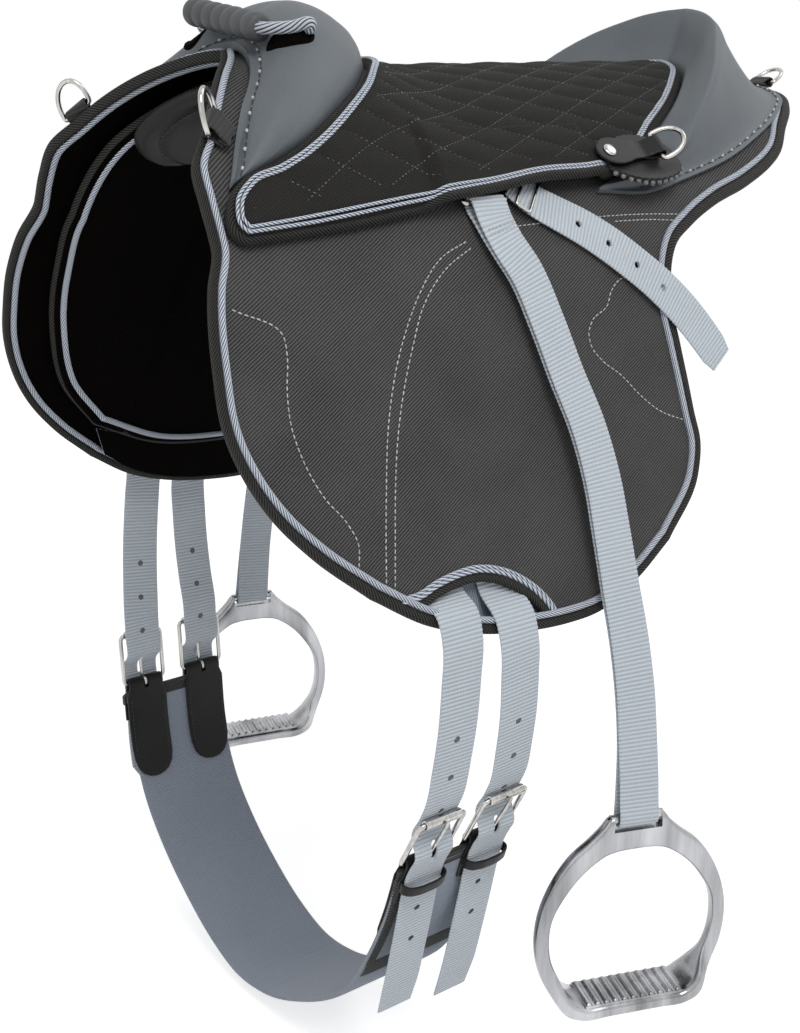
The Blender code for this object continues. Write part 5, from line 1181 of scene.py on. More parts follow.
bend_off = 0.5 * (off_end + GRIP_OFF) + (-0.001, -0.006, 0.005)
rope_line = even([near_end - near_up * ROPE, near_end + near_up * ROPE_RISE, bend_near,
                  GRIP_NEAR - grip_way * ROPE_LEAD, GRIP_NEAR + grip_way * ROPE_IN_GRIP,
                  GRIP_OFF - grip_way * ROPE_IN_GRIP, GRIP_OFF + grip_way * ROPE_LEAD, bend_off,
                  off_end + off_up * ROPE_RISE, off_end - off_up * ROPE], 0.0006)
twisted("rope", rope_line, (-0.3, 0.6, 0.7), ROPE, ROPE_LAY, ROPE_FIBRE, "rope", "handle", "handle_rope",
        strands=8, deep=0.2, around=40)
grip_run = np.linspace(0, 1, 181)
ribs = np.abs(np.sin(math.pi * GRIP_RIBS * grip_run)) ** 0.55
grip_round = rounded(np.minimum(grip_run, 1 - grip_run), 0.04)
grip_radius = (GRIP_GROOVE + (GRIP_RADIUS - GRIP_GROOVE) * ribs) * (0.72 + 0.28 * grip_round)
grip_path = GRIP_NEAR + (GRIP_OFF - GRIP_NEAR) * grip_run[:, None]
swept("grip", grip_path, (0, 0, 1), grip_radius[:, None, None] * circle(40), GRIP_SKIN, "grip_rubber", "grip",
      "handle_grip", sharp=50)


# The D-rings. One hangs in a webbing keeper at each front corner and one at the rear middle, and one
# each side in a leather tab, riveted behind the skirt over a scalloped leather rosette.
RING_WIDTH, RING_HEIGHT, DEE_WIRE, TAB_THICK = 0.0230, 0.0210, 0.0015, 0.0015
FRONT_RING_AT, FRONT_RING_BACK = (0.2290, 0.0830), (-0.78, 0.62)
REAR_RING_AT, CRUPPER_RING_AT = (-0.068, 0.1065), (-0.296, 0)
TAB_TIP = [(0.44, 0.72), (0.56, 0.90), (0.68, 1), (0.80, 0.96), (0.90, 0.76), (0.97, 0.44), (1, 0.16)]
ROSETTE_AT, ROSETTE_RADIUS, ROSETTE_FLUTES, ROSETTE_WAVE = (-0.056, 0.1135), 0.0310, 34, 0.04
ROSETTE_SQUAT, ROSETTE_WEDGE = (0.70, 0.42), 0.0030
ROSETTE_THICK, ROSETTE_RISE, RIVET_RADIUS, RIVET_AHEAD, BEAD_PROUD = 0.0015, 0.0158, 0.0045, 0.040, 0.002
# Each tab: the length of its lower and upper ply from the ring, and its width
FRONT_KEEPER, CRUPPER_KEEPER = (0.009, 0.0105, 0.015), (0.0075, 0.0085, 0.015)
REAR_TAB, REAR_TAB_HEAD = (0.012, 0.050, 0.013), 0.021
FRONT_RING_LEAN, REAR_RING_LEAN, CRUPPER_RING_LEAN = 35, 55, 60

BLACK_WEB = webbing("black_webbing", (0.004, 0.004, 0.004), (0.030, 0.030, 0.030), 0.0025)
LACING = spun("grey_lacing", (0.08, 0.08, 0.085), (0.24, 0.24, 0.25), 0.5, 400)


def dee(name, bar, along, away, *rest):
    """A D of wire: half an ellipse over a straight bar, with tight bends at the bar's ends."""
    half, tall = RING_WIDTH / 2 - DEE_WIRE, RING_HEIGHT - 2 * DEE_WIRE
    foot = 0.25 * tall
    turns = np.radians(np.arange(0, 181, 6))
    shape = [(half * math.cos(a), foot + (tall - foot) * math.sin(a)) for a in turns]
    shape += [(-half, 0.10 * tall), (-half * 0.96, 0.03 * tall), (-half * 0.86, 0), (half * 0.86, 0),
              (half * 0.96, 0.03 * tall), (half, 0.10 * tall)]
    path = np.array([bar + along * a + away * b for a, b in shape])
    swept(name, path, np.cross(along, away), tube_profile(DEE_WIRE, DEE_WIRE, 14), *rest, closed=True,
          sharp=80)


def folded_tab(name, at, back, rise, lower, upper, width, colouring, slot, node, head=None, rib=0.00018):
    """A strip laid on the skin and folded round a ring's bar. Returns the bar's place and way."""
    radius = DEE_WIRE + 3 * SEAM + TAB_THICK / 2
    back = unit(back)
    turns = np.radians([-120, -155, 170, 135, 100])
    top = TAB_THICK + SEAM
    route = [(lower, 0), (0.001, 0)] + [(radius * math.cos(a), radius + radius * math.sin(a)) for a in turns]
    tip = TAB_TIP if head else [(0.6, 1), (0.8, 1), (1, 1)]
    route += [(0.006, 1.35 * radius), (0.010, top + 0.0004)] + [(upper * a, top) for a, _ in tip]
    path = [skin(at[0] + back[0] * a, at[1] + back[1] * a, rise + TAB_THICK / 2 + h) for a, h in route]
    across = unit(skin(at[0] - back[1] * 1e-3, at[1] + back[0] * 1e-3) - skin(at[0], at[1]))
    widths = np.full(len(route), width)
    widths[-len(tip):] = [(head or width) * share for _, share in tip]
    strap(name, path, across, widths, TAB_THICK, colouring, slot, "saddle", node, rib=rib, spacing=0.0004)
    return skin(at[0], at[1], rise + TAB_THICK / 2 + radius), across


def leant(at, forward, degrees):
    """The skin's normal at a place, leant over towards forward."""
    angle = math.radians(degrees)
    return unit(math.cos(angle) * outward(*at) + math.sin(angle) * np.asarray(forward))


for word, side in SIDES.items():
    at = (FRONT_RING_AT[0], FRONT_RING_AT[1] * side)
    back = np.array([FRONT_RING_BACK[0], FRONT_RING_BACK[1] * side])
    bar, along = folded_tab(f"front_web_{word}", at, back, BEAD_PROUD + 2 * SEAM, *FRONT_KEEPER,
                            BLACK_WEB, "black_web", f"front_keeper_{word}")
    forward = unit(skin(at[0] - back[0] * 0.01, at[1] - back[1] * 0.01) - skin(*at))
    dee(f"front_dee_{word}", bar, along, leant(at, forward, FRONT_RING_LEAN), NICKEL, "nickel",
        f"front_ring_{word}", f"front_ring_{word}")

    at = (REAR_RING_AT[0], REAR_RING_AT[1] * side)
    rise = ROSETTE_RISE + ROSETTE_THICK + SEAM
    bar, along = folded_tab(f"rear_leather_{word}", at, (1, 0), rise, *REAR_TAB, GLOSS, "black_leather",
                            f"rear_tab_{word}", head=REAR_TAB_HEAD, rib=0)
    dee(f"rear_dee_{word}", bar, along, leant(at, (-1, 0, 0), REAR_RING_LEAN), NICKEL, "nickel",
        f"rear_ring_{word}", f"rear_ring_{word}")

    turn, share = np.meshgrid(np.linspace(0, 2 * math.pi, 192, endpoint=False), np.linspace(0.02, 1, 24),
                              indexing="ij")
    flutes = 1 + ROSETTE_WAVE * (np.abs(np.cos(0.5 * ROSETTE_FLUTES * turn)) - 0.5) * share ** 6
    reach = ROSETTE_RADIUS * share * flutes
    wide = reach * np.sin(turn) * np.where(np.sin(turn) > 0, ROSETTE_SQUAT[1], ROSETTE_SQUAT[0])
    rx, rv = ROSETTE_AT[0] + reach * np.cos(turn), side * (ROSETTE_AT[1] + wide)
    climb = smooth(np.clip(wide / 0.013, 0, 1))
    top = ROSETTE_RISE + ROSETTE_THICK * rounded(1 - share, 0.05) + ROSETTE_WEDGE * climb
    upper, lower = skin(rx, rv, top), skin(rx, rv, ROSETTE_RISE)
    round_shell(f"rosette_{word}_cap", upper, lower, GLOSS, "black_leather", "saddle", f"rosette_{word}")
    shown = slice(8, 90)
    edge = (0.45 * lower + 0.55 * upper)[shown, -1]
    away = unit(edge - (0.45 * lower + 0.55 * upper)[shown, 12])
    sewn(f"rosette_ticks_{word}", edge, away, "saddle", 0.0057, 0.0033, 0.0031, LACING, 0.15)

    x, v = at[0] + RIVET_AHEAD, at[1]
    base, up = skin(x, v, rise + 2 * TAB_THICK + 2 * SEAM), outward(x, v)
    dome = np.array([(0, 1), (0.0003, 1), (0.0007, 0.93), (0.0010, 0.78), (0.0012, 0.5), (0.00125, 0.1)])
    swept(f"rivet_head_{word}", base + dome[:, :1] * up, np.cross(up, (1, 0, 0)),
          dome[:, 1, None, None] * (RIVET_RADIUS * circle(32)), NICKEL, "nickel", "saddle", f"rivet_{word}",
          sharp=60)

bar, along = folded_tab("crupper_web", CRUPPER_RING_AT, (1, 0), BEAD_PROUD + 2 * SEAM, *CRUPPER_KEEPER,
                        BLACK_WEB, "black_web", "crupper_keeper")
dee("crupper_dee", bar, along, leant(CRUPPER_RING_AT, (-1, 0, 0), CRUPPER_RING_LEAN), NICKEL, "nickel",
    "crupper_ring", "crupper_ring")


# The stirrup leathers. Endless belts of 25 mm grey webbing from the ring under the skirt down to the
# iron's bar, and their punched tails, which come out of a wire buckle and lie back over the flap.
LEATHER_WIDTH, IRON_BAR, HOLE_RADIUS = 0.025, 0.0030, 0.0022
LEATHER_ON_FLAP = [(0.0719, 0.134, 0.0064), (0.0690, 0.146, 0.0066), (0.0600, 0.165, 0.0072),
                   (0.0510, 0.195, 0.0080), (0.0420, 0.230, 0.0100), (0.0360, 0.262, 0.0135)]
LEATHER_FREE = [(0.0335, 0.196, -0.255), (0.0335, 0.212, -0.310), (0.0355, 0.221, -0.360)]
LEATHER_FOOT = (0.0375, 0.225, -0.3992)
IRON_TURN = {"near": 21.0, "off": 16.0}
TAIL = [(0.0435, 0.1120, 0.0044), (0.035, 0.1220, 0.0032), (0.021, 0.1320, 0.0026), (0.003, 0.1430, 0.0024),
        (-0.016, 0.1560, 0.0026), (-0.036, 0.1720, 0.0032), (-0.054, 0.1880, 0.0038),
        (-0.070, 0.2040, 0.0040), (-0.085, 0.2220, 0.0040), (-0.095, 0.2360, 0.0040)]
TAIL_HOLES, TAIL_HOLES_FROM, TAIL_TIP = [0.026, 0.050, 0.074, 0.098], 0.12, 0.80
TAIL_BUCKLE_AT, TAIL_BUCKLE_HALF, TAIL_BUCKLE_WIRE, TAIL_BUCKLE_BEND = 0.055, 0.005, 0.001, 0.002
LEATHER_SEAMS, SEAM_HALF = (0.0170, 0.0200), 0.0108

GREY_WEB = webbing("grey_webbing", (0.330, 0.370, 0.410), (0.640, 0.700, 0.760), 0.0025)


def leather_spine(word, side):
    """Centre line of the hanging double strap, and the ways of its width and face at each point."""
    on_flap = [skin(*place) for place in LEATHER_ON_FLAP]
    spine = through([ring_bar(1)] + on_flap + [np.array(p) for p in LEATHER_FREE] + [np.array(LEATHER_FOOT)])
    shares = np.r_[0, 0.03, 0.07, np.linspace(0.12, 0.88, 10), 0.93, 0.975, 1]
    places = spine(shares)
    ways = unit(np.gradient(places, axis=0))
    turn = math.radians(IRON_TURN[word])
    ease = np.clip((shares - 0.25) / 0.65, 0, 1)[:, None]
    want = (1 - ease) * (1.0, 0, 0) + ease * (math.cos(turn), -math.sin(turn) * side, 0)
    lean = (np.clip(shares / 0.08, 0, 1) * np.clip((1 - shares) / 0.08, 0, 1))[:, None]
    across = unit(want - lean * np.sum(want * ways, -1, keepdims=True) * ways)
    face = unit(np.cross(ways, across))
    face = face if face[0][1] > 0 else -face
    flip = np.array([1, side, 1])
    return shares, places * flip, across * flip, face * flip


for word, side in SIDES.items():
    shares, places, across, face = leather_spine(word, side)
    near_bar, near_iron = RING_WIRE + 2 * PLAY + WEB_THICK / 2, IRON_BAR + 2 * PLAY + WEB_THICK / 2
    flat = WEB_THICK / 2 + PLAY
    spread = np.interp(shares, [0, 0.05, 0.88, 1], [near_bar, flat, flat, near_iron])[:, None]
    down, rise = unit(places[-1] - places[-2]), unit(places[0] - places[1])
    under = [places[-1] + near_iron * (math.cos(a) * face[-1] + math.sin(a) * down)
             for a in np.radians([35, 70, 110, 145])]
    over = [places[0] + near_bar * (math.cos(a) * face[0] + math.sin(a) * rise)
            for a in np.radians([135, 90, 45])]
    belt = np.concatenate([places + face * spread, under, (places - face * spread)[::-1], over])
    sides = np.concatenate([across, np.tile(across[-1], (4, 1)), across[::-1], np.tile(across[0], (3, 1))])
    strap(f"stirrup_leather_{word}", belt, sides, LEATHER_WIDTH, WEB_THICK, GREY_WEB, "grey_web",
          f"strap_{word}", f"leather_{word}", closed=True)
    outer_face = places + face * (spread + WEB_THICK / 2 + 0.0001)
    run = lengths(outer_face)
    for number, along in enumerate(LEATHER_SEAMS):
        middle, wide, out = (np.array([np.interp(along, run, part[:, k]) for k in range(3)])
                             for part in (outer_face, across, face))
        line = middle + np.linspace(-SEAM_HALF, SEAM_HALF, 30)[:, None] * wide
        sewn(f"leather_stitches_{number}_{word}", line, out, f"strap_{word}", 0.0030, 0.0021, 0.0006)

    spine = through(TAIL)
    route = spine(np.linspace(0, 1, 20))
    path = skin(route[:, 0], route[:, 1] * side, route[:, 2])
    normals = outward(route[:, 0], route[:, 1] * side)
    across = unit(np.cross(unit(np.gradient(path, axis=0)), normals))
    width = np.full(20, LEATHER_WIDTH)
    width[-1] = TAIL_TIP * LEATHER_WIDTH
    tail = strap(f"leather_end_{word}", path, across, width, WEB_THICK, GREY_WEB, "grey_web", "saddle",
                 f"leather_tail_{word}")
    x, v, h = np.array([spine(along / spine.length + TAIL_HOLES_FROM) for along in TAIL_HOLES]).T
    punched(tail, skin(x, v * side, h), outward(x, v * side), HOLE_RADIUS, 2 * WEB_THICK)
    x, v, h = spine(TAIL_BUCKLE_AT)
    way, up = unit(path[2] - path[1]), outward(x, v * side)
    wide = unit(np.cross(way, up))
    gap = WEB_THICK / 2 + SEAM + TAIL_BUCKLE_WIRE
    half = LEATHER_WIDTH / 2 + RING_WIRE
    corners = [skin(x, v * side, h) + way * a * TAIL_BUCKLE_HALF + wide * b * half + up * gap
               for a, b in ((-1, -1), (-1, 1), (1, 1), (1, -1))]
    wire(f"leather_wire_buckle_{word}", corners, up, TAIL_BUCKLE_WIRE, TAIL_BUCKLE_BEND, NICKEL, "nickel",
         "saddle", f"leather_buckle_{word}")


# The stirrup irons. Aluminium castings, polished, with a flat slot for the leather at the head and a
# foot that widens to a ribbed tread.
IRON_OUTER = [(0, 0.0078), (0.012, 0.0078), (0.0178, 0.0062), (0.0215, 0.0015), (0.0290, -0.0060),
              (0.0415, -0.0165), (0.0545, -0.036), (0.0616, -0.057), (0.063, -0.074), (0.0602, -0.093),
              (0.0525, -0.111), (0.0445, -0.1228), (0.034, -0.127), (0.017, -0.127), (0, -0.127)]
IRON_INNER = [(0, -0.0165), (0.006, -0.0165), (0.012, -0.017), (0.019, -0.0185), (0.026, -0.0225),
              (0.034, -0.029), (0.045, -0.0425), (0.0525, -0.057), (0.0543, -0.071), (0.0525, -0.086),
              (0.047, -0.100), (0.0415, -0.1105), (0.034, -0.116), (0.017, -0.1165), (0, -0.1165)]
IRON_DEPTH, TREAD_DEPTH, FOOT_FROM, FOOT_OVER = 0.0045, 0.0150, -0.092, 0.022
SLOT_HALF, SLOT_FOOT, IRON_BAR_UP, BAR_PAST = 0.0155, -0.0020, 0.0048, 0.0015
TREAD_CRESTS, TREAD_PITCH, TREAD_RISE, TREAD_SINK, TREAD_INSET = 11, 0.0060, 0.0016, 0.0015, 0.0022
TREAD_PAST = 0.0025
BOX_FACES = [(0, 1, 3, 2), (4, 6, 7, 5), (0, 4, 5, 1), (2, 3, 7, 6), (0, 2, 6, 4), (1, 5, 7, 3)]

ALUMINIUM = metal("polished_aluminium", (0.52, 0.525, 0.545), 0.20, 55, 0.38)


def hung(points, word):
    """Points of the iron's own frame, turned about Z as its leather's foot is, and put there."""
    angle = -math.radians(IRON_TURN[word])
    c, s = math.cos(angle), math.sin(angle)
    foot = np.array(LEATHER_FOOT) * (1, SIDES[word], 1)
    return points @ np.array([[c, s, 0], [-s, c, 0], [0, 0, 1]]) + foot


knots = np.linspace(0, 1, len(IRON_OUTER))
outer_line, inner_line = through(IRON_OUTER), through(IRON_INNER)
k = np.linspace(0, 1, 150)
outer = outer_line(np.interp(k, knots, outer_line.shares))
inner = inner_line(np.interp(k, knots, inner_line.shares))
outer, inner = (np.concatenate([half, half[-2:0:-1] * (-1, 1)]) for half in (outer, inner))
low = np.clip((FOOT_FROM - inner[:, 1]) / FOOT_OVER, 0, 1)
deep = IRON_DEPTH + (TREAD_DEPTH - IRON_DEPTH) * smooth(low)
bar_profile = tube_profile(0.5, 1.0, 20, 0.55)
flat_xz = (0.5 * (outer + inner))[:, None] + bar_profile[None, :, :1] * (outer - inner)[:, None]
rings = np.stack([flat_xz[..., 0], bar_profile[None, :, 1] * deep[:, None],
                  flat_xz[..., 1] - IRON_BAR_UP], -1)
slot_box = np.array([(x, y, z) for x in (-SLOT_HALF, SLOT_HALF) for y in (-0.02, 0.02)
                     for z in (SLOT_FOOT - IRON_BAR_UP, 0.02)])
bar_line = np.linspace((-SLOT_HALF - BAR_PAST, 0, 0), (SLOT_HALF + BAR_PAST, 0, 0), 12)
reach = (TREAD_CRESTS - 1) / 2 * TREAD_PITCH + TREAD_PAST
tx, ty = np.meshgrid(np.linspace(-reach, reach, 221), np.linspace(-1, 1, 25), indexing="ij")
crest = np.clip(np.cos(2 * math.pi * tx / TREAD_PITCH) * 0.9 + 0.5, 0, 1) * rounded(1 - np.abs(ty), 0.15)
floor_z = IRON_INNER[-1][1] - IRON_BAR_UP
ribs_top, ribs_low = (np.stack([tx, ty * (TREAD_DEPTH - TREAD_INSET), z], -1)
                      for z in (floor_z + 0.0002 + TREAD_RISE * crest,
                                np.full_like(tx, floor_z - TREAD_SINK)))
for word in SIDES:
    quads, i, j = lattice(len(rings), 20, True, True)
    iron = make(f"stirrup_iron_{word}", hung(rings, word), [quads],
                np.stack([i * 0.0013, j * 0.002], -1), ALUMINIUM, "polished_iron", f"stirrup_{word}",
                f"iron_{word}", sharp=50)
    cut_out(iron, hung(slot_box, word), BOX_FACES)
    swept(f"iron_bar_{word}", hung(bar_line, word), (0, 0, 1), tube_profile(IRON_BAR, IRON_BAR, 24),
          ALUMINIUM, "polished_iron", f"stirrup_{word}")
    shell(f"iron_tread_{word}", hung(ribs_top, word), hung(ribs_low, word), np.stack([tx, ty], -1),
          ALUMINIUM, "polished_iron", f"stirrup_{word}", sharp=50)


# The girth. Wide grey web hanging in a loop under the saddle, its ends bound in black tape, with a
# chape of black leather sewn over each end of it for every buckle.
GIRTH_PATH = [(0.160, -0.418), (0.143, -0.466), (0.128, -0.497), (0.100, -0.541), (0.050, -0.578),
              (0, -0.600), (-0.035, -0.604), (-0.070, -0.594), (-0.105, -0.574), (-0.135, -0.550),
              (-0.160, -0.520), (-0.175, -0.480), (-0.180, -0.426)]
GIRTH_WIDTH, GIRTH_THICK, GIRTH_SETBACK = 0.080, 0.0032, 0.0065
END_TAPE, BAND_TAPE, TAPE_PAST = (-0.001, 0.009), (0.096, 0.114), 0.0014
EDGE_TAPE_WIDTH, EDGE_TAPE_IN, EDGE_TAPE = 0.0070, 0.003, (0.014, 0.098)
MEND_AT, MEND_HALF, MEND_WAVE = 0.150, 0.036, 0.0016
BUCKLE_X = {"near": {"front": 0.150, "rear": 0.102}, "off": {"front": 0.162, "rear": 0.112}}
BUCKLE_LEAN = {"near": 29.0, "off": 3.0}

GIRTH_WEB = webbing("girth_webbing", (0.150, 0.175, 0.220), (0.340, 0.385, 0.460), 0.0016)

girth = through(GIRTH_PATH)


def girth_at(word, along, x, off=0.0):
    """Place along the girth from one side's buckles: on its centre line, then off along its normal."""
    share = along / girth.length
    share = share if word == "near" else 1 - share
    way = unit(girth(min(share + 1e-3, 1)) - girth(max(share - 1e-3, 0)))
    y, z = girth(share) + off * np.array([-way[1], way[0]])
    return np.array([x, y, z])


def lean(word):
    """Ways of a buckle: up from its lower bar to its roller, and outward."""
    side, angle = SIDES[word], math.radians(BUCKLE_LEAN[word])
    up = np.array([0, side * math.sin(angle), math.cos(angle)])
    out = np.array([0, side * math.cos(angle), -math.sin(angle)])
    return up, out


near_x, off_x = (0.5 * sum(BUCKLE_X[word].values()) for word in ("near", "off"))
places = np.linspace(GIRTH_SETBACK, girth.length - GIRTH_SETBACK, 40)
girth_line = [girth_at("near", a, near_x + (off_x - near_x) * a / girth.length) for a in places]
strap("girth_web", girth_line, (1, 0, 0), GIRTH_WIDTH, GIRTH_THICK, GIRTH_WEB, "girth_web", "saddle", "girth",
      rib=0.0001, pitch=0.0016, spacing=0.0009, around=28)


def tape(name, alongs, word, x, width, thick):
    """A black tape over the girth, along it at one x from one side's buckles."""
    strap(name, [girth_at(word, a, x) for a in alongs], (1, 0, 0), width, thick, BLACK_WEB, "black_web",
          "saddle", around=28)


for word, x in (("near", near_x), ("off", off_x)):
    tape(f"girth_end_tape_{word}", np.linspace(*(GIRTH_SETBACK + end for end in END_TAPE), 8), word, x,
         GIRTH_WIDTH + TAPE_PAST, GIRTH_THICK + 0.0005)
tape("girth_band", np.linspace(*BAND_TAPE, 10), "near", near_x, GIRTH_WIDTH + TAPE_PAST, GIRTH_THICK + 0.0008)
for name, edge in (("rear", -1), ("front", 1)):
    tape(f"girth_edge_tape_{name}", np.linspace(*EDGE_TAPE, 20), "near",
         near_x + edge * (GIRTH_WIDTH / 2 - EDGE_TAPE_IN), EDGE_TAPE_WIDTH, GIRTH_THICK + 0.0010)
zig = np.linspace(0, 1, 60)
zig_along = MEND_AT + MEND_WAVE * np.sign(np.sin(zig * 26))
zig_path = np.array([girth_at("off", a, off_x + MEND_HALF * (2 * z - 1), GIRTH_THICK / 2)
                     for a, z in zip(zig_along, zig)])
sewn("girth_mend_stitches", zig_path, (0, -0.7, -0.7), "saddle", 0.0040, 0.0030, 0.0006, DARK_THREAD)


# The girth's buckles, four alike. Each is a nickel wire frame with a turning roller on its upper bar
# and a tongue on its lower one, held by a folded leather chape with a keeper for the billet's end.
BUCKLE_RISE, BUCKLE_WIRE, ROLLER_WALL, ROLLER_PLAY, ROLLER_LIP = 0.0395, 0.0016, 0.0012, 0.00025, 0.0004
TONGUE_WIRE, TONGUE_PAST, TONGUE_HOLE = 0.0012, 0.003, (0.0050, 0.0195)
CHAPE_THICK, CHAPE_WIDTH, CHAPE_FLARE = 0.0018, 0.0285, 0.0330
CHAPE_OUTER, CHAPE_INNER, KEEPER_AT, KEEPER_BAND, KEEPER_BULGE = 0.030, 0.078, 0.0150, 0.007, 0.0045
CHAPE_TIP = [0.98, 0.86, 0.66, 0.40, 0.14]
KEEPER_THICK, KEEPER_ARCH = 0.0016, [(-0.88, 0.45), (-0.5, 0.9), (0, 1), (0.5, 0.9), (0.88, 0.45)]
BILLET_WIDTH = 0.028
LEAF = GIRTH_THICK / 2 + SEAM + CHAPE_THICK / 2
FOLD = BUCKLE_WIRE + 2 * SEAM + CHAPE_THICK / 2
OVER_LEAF = LEAF + CHAPE_THICK / 2 + SEAM + WEB_THICK / 2
ROLLER = BUCKLE_WIRE + ROLLER_PLAY + ROLLER_WALL
TONGUE_LOOP = BUCKLE_WIRE + PLAY + TONGUE_WIRE
BEHIND_ROLLER = ROLLER + PLAY + WEB_THICK / 2
OVER_TONGUE = TONGUE_LOOP + TONGUE_WIRE + 2 * PLAY + WEB_THICK / 2
RIGHT = np.array([1.0, 0, 0])

for word, side in SIDES.items():
    for which in ("front", "rear"):
        x = BUCKLE_X[word][which]
        heel = girth_at(word, 0, x)
        up, out = lean(word)
        tag = f"{word}_{which}"

        leaf_outer = [girth_at(word, a, x, LEAF) for a in (CHAPE_OUTER, 0.020, 0.011, 0.005)]
        fold = [heel + FOLD * (math.cos(a) * out + math.sin(a) * up)
                for a in np.radians([10, 50, 90, 130, 170])]
        inner_at = (0.005, 0.011, 0.025, 0.039, 0.053, 0.062, 0.0695, 0.0740, 0.0768, CHAPE_INNER)
        leaf_inner = [girth_at(word, a, x, -LEAF) for a in inner_at]
        width = [CHAPE_FLARE] * 3 + [CHAPE_WIDTH] * 7 + [CHAPE_FLARE] * 4
        width += [share * CHAPE_FLARE for share in CHAPE_TIP]
        chape = strap(f"chape_leather_{tag}", leaf_outer + fold + leaf_inner, (1, 0, 0), width, CHAPE_THICK,
                      GLOSS, "black_leather", "saddle", f"chape_{tag}", rib=0)
        half, deep_cut = TONGUE_WIRE + 2 * PLAY, TONGUE_LOOP + TONGUE_WIRE + PLAY
        box = np.array([heel + RIGHT * a * half + out * b + up * c for a in (-1, 1)
                        for b in (-deep_cut, deep_cut) for c in (-deep_cut, 2 * deep_cut)])
        cut_out(chape, box, BOX_FACES)
        for name, edge in (("rear", -1), ("front", 1)):
            line = np.array([girth_at(word, a, x + edge * (CHAPE_FLARE / 2 - 0.003), -LEAF - CHAPE_THICK / 2)
                             for a in np.linspace(0.012, 0.058, 30)])
            inward = girth_at(word, 0.03, x, -0.01) - girth_at(word, 0.03, x)
            sewn(f"chape_stitches_{tag}_{name}", line, inward, "saddle", 0.0036, 0.0025, 0.0006, DARK_THREAD)

        middle = girth_at(word, KEEPER_AT, x)
        way = unit(girth_at(word, KEEPER_AT + 0.004, x) - girth_at(word, KEEPER_AT - 0.004, x))
        face = unit(girth_at(word, KEEPER_AT, x, LEAF) - middle)
        half_loop = (BILLET_WIDTH / 2 + PLAY + CHAPE_FLARE / 2 - 0.0002) / 2
        floor_h, roof = LEAF + CHAPE_THICK * 0.3, OVER_LEAF + WEB_THICK / 2 + PLAY + CHAPE_THICK / 2
        arch = [(a * half_loop, roof + b * KEEPER_BULGE) for a, b in KEEPER_ARCH]
        loop = [(-half_loop, floor_h), (-half_loop, roof)] + arch + [(half_loop, roof), (half_loop, floor_h)]
        strap(f"keeper_{tag}", [middle + RIGHT * a + face * b for a, b in loop], way, KEEPER_BAND,
              KEEPER_THICK, GLOSS, "black_leather", "saddle", rib=0, spacing=0.0005)

        half, turn = CHAPE_WIDTH / 2 + 0.0008 + BUCKLE_WIRE, 2 * BUCKLE_WIRE
        centre = heel + up * BUCKLE_RISE
        corners = [heel - RIGHT * half, centre - RIGHT * half, centre + RIGHT * half, heel + RIGHT * half]
        wire(f"buckle_frame_{tag}", corners, out, BUCKLE_WIRE, 1.4 * turn, NICKEL, "nickel", "saddle",
             f"buckle_{tag}")

        long = half - turn - PLAY
        spokes = circle(32) @ np.array([out, up])
        rows = [(-long, ROLLER - ROLLER_LIP), (-long + ROLLER_LIP, ROLLER), (long - ROLLER_LIP, ROLLER),
                (long, ROLLER - ROLLER_LIP), (long, ROLLER - ROLLER_WALL), (-long, ROLLER - ROLLER_WALL)]
        rings = np.array([centre + RIGHT * a + spokes * r for a, r in rows])
        quads, i, j = lattice(len(rows), 32, True, True)
        make(f"roller_tube_{tag}", rings, [quads], np.stack([i * 0.005, j * 0.0006], -1), NICKEL, "nickel",
             f"roller_{tag}", f"roller_{tag}", sharp=35)

        rest = ROLLER + PLAY + TONGUE_WIRE
        hook = [heel + TONGUE_LOOP * (math.cos(a) * out + math.sin(a) * up)
                for a in np.radians(range(115, 361, 20))]
        shaft = [(TONGUE_LOOP, 0.004), (0.5 * (TONGUE_LOOP + rest), 0.5 * BUCKLE_RISE),
                 (rest, BUCKLE_RISE - 0.003), (rest, BUCKLE_RISE + TONGUE_PAST)]
        tongue_line = even(hook + [heel + out * n + up * w for n, w in shaft], 0.0005)
        run = lengths(tongue_line)
        blunt = np.clip(0.45 + 0.55 * np.sqrt(np.clip((run[-1] - run) / 0.002, 0, 1)), 0, 1)
        swept(f"tongue_wire_{tag}", tongue_line, RIGHT,
              blunt[:, None, None] * tube_profile(TONGUE_WIRE, TONGUE_WIRE, 14), NICKEL, "nickel",
              f"tongue_{tag}", f"tongue_{tag}", sharp=60)


# The billets, four straps of 28 mm grey webbing. Each comes from between flap and panel out of the
# half-moon, runs behind its roller and over the tongue, through the keeper, and hangs free. A guard
# of webbing lined with black cloth lies behind them in the half-moon.
BILLET_X = {"front": 0.147, "rear": 0.108}
BILLET_TOP, BILLET_DROP, BILLET_OVER_RIM = 0.100, 0.0066, 0.0042
BILLET_MOON = {"front": (0.3340, 0.3470, 0.3620), "rear": (0.3390, 0.3570, 0.3720)}
BILLET_TAIL = {"near": {"front": 0.113, "rear": 0.124}, "off": {"front": 0.080, "rear": 0.076}}
BILLET_FLARE, BILLET_LONGER = {"near": 0.014, "off": 0.010}, {"near": 0.012, "off": 0.0}
BILLET_STRAIGHT = {"near": 0.75, "off": 0.0}
BILLET_HOLE_PITCH, BILLET_HOLES_UP, BILLET_HOLES_DOWN, BILLET_HOLES_APART = 0.026, 3, 2, 2.2
BILLET_TIP = {"near": 0.92, "off": 0.5}

GUARD_TOP = [(0.197, 0.300), (0.151, 0.316), (0.090, 0.324), (0.040, 0.323)]
GUARD_FOOT = [(0.189, 0.3225), (0.163, 0.3410), (0.131, 0.3535), (0.093, 0.3600), (0.060, 0.3620)]
GUARD_THICK = 0.0010

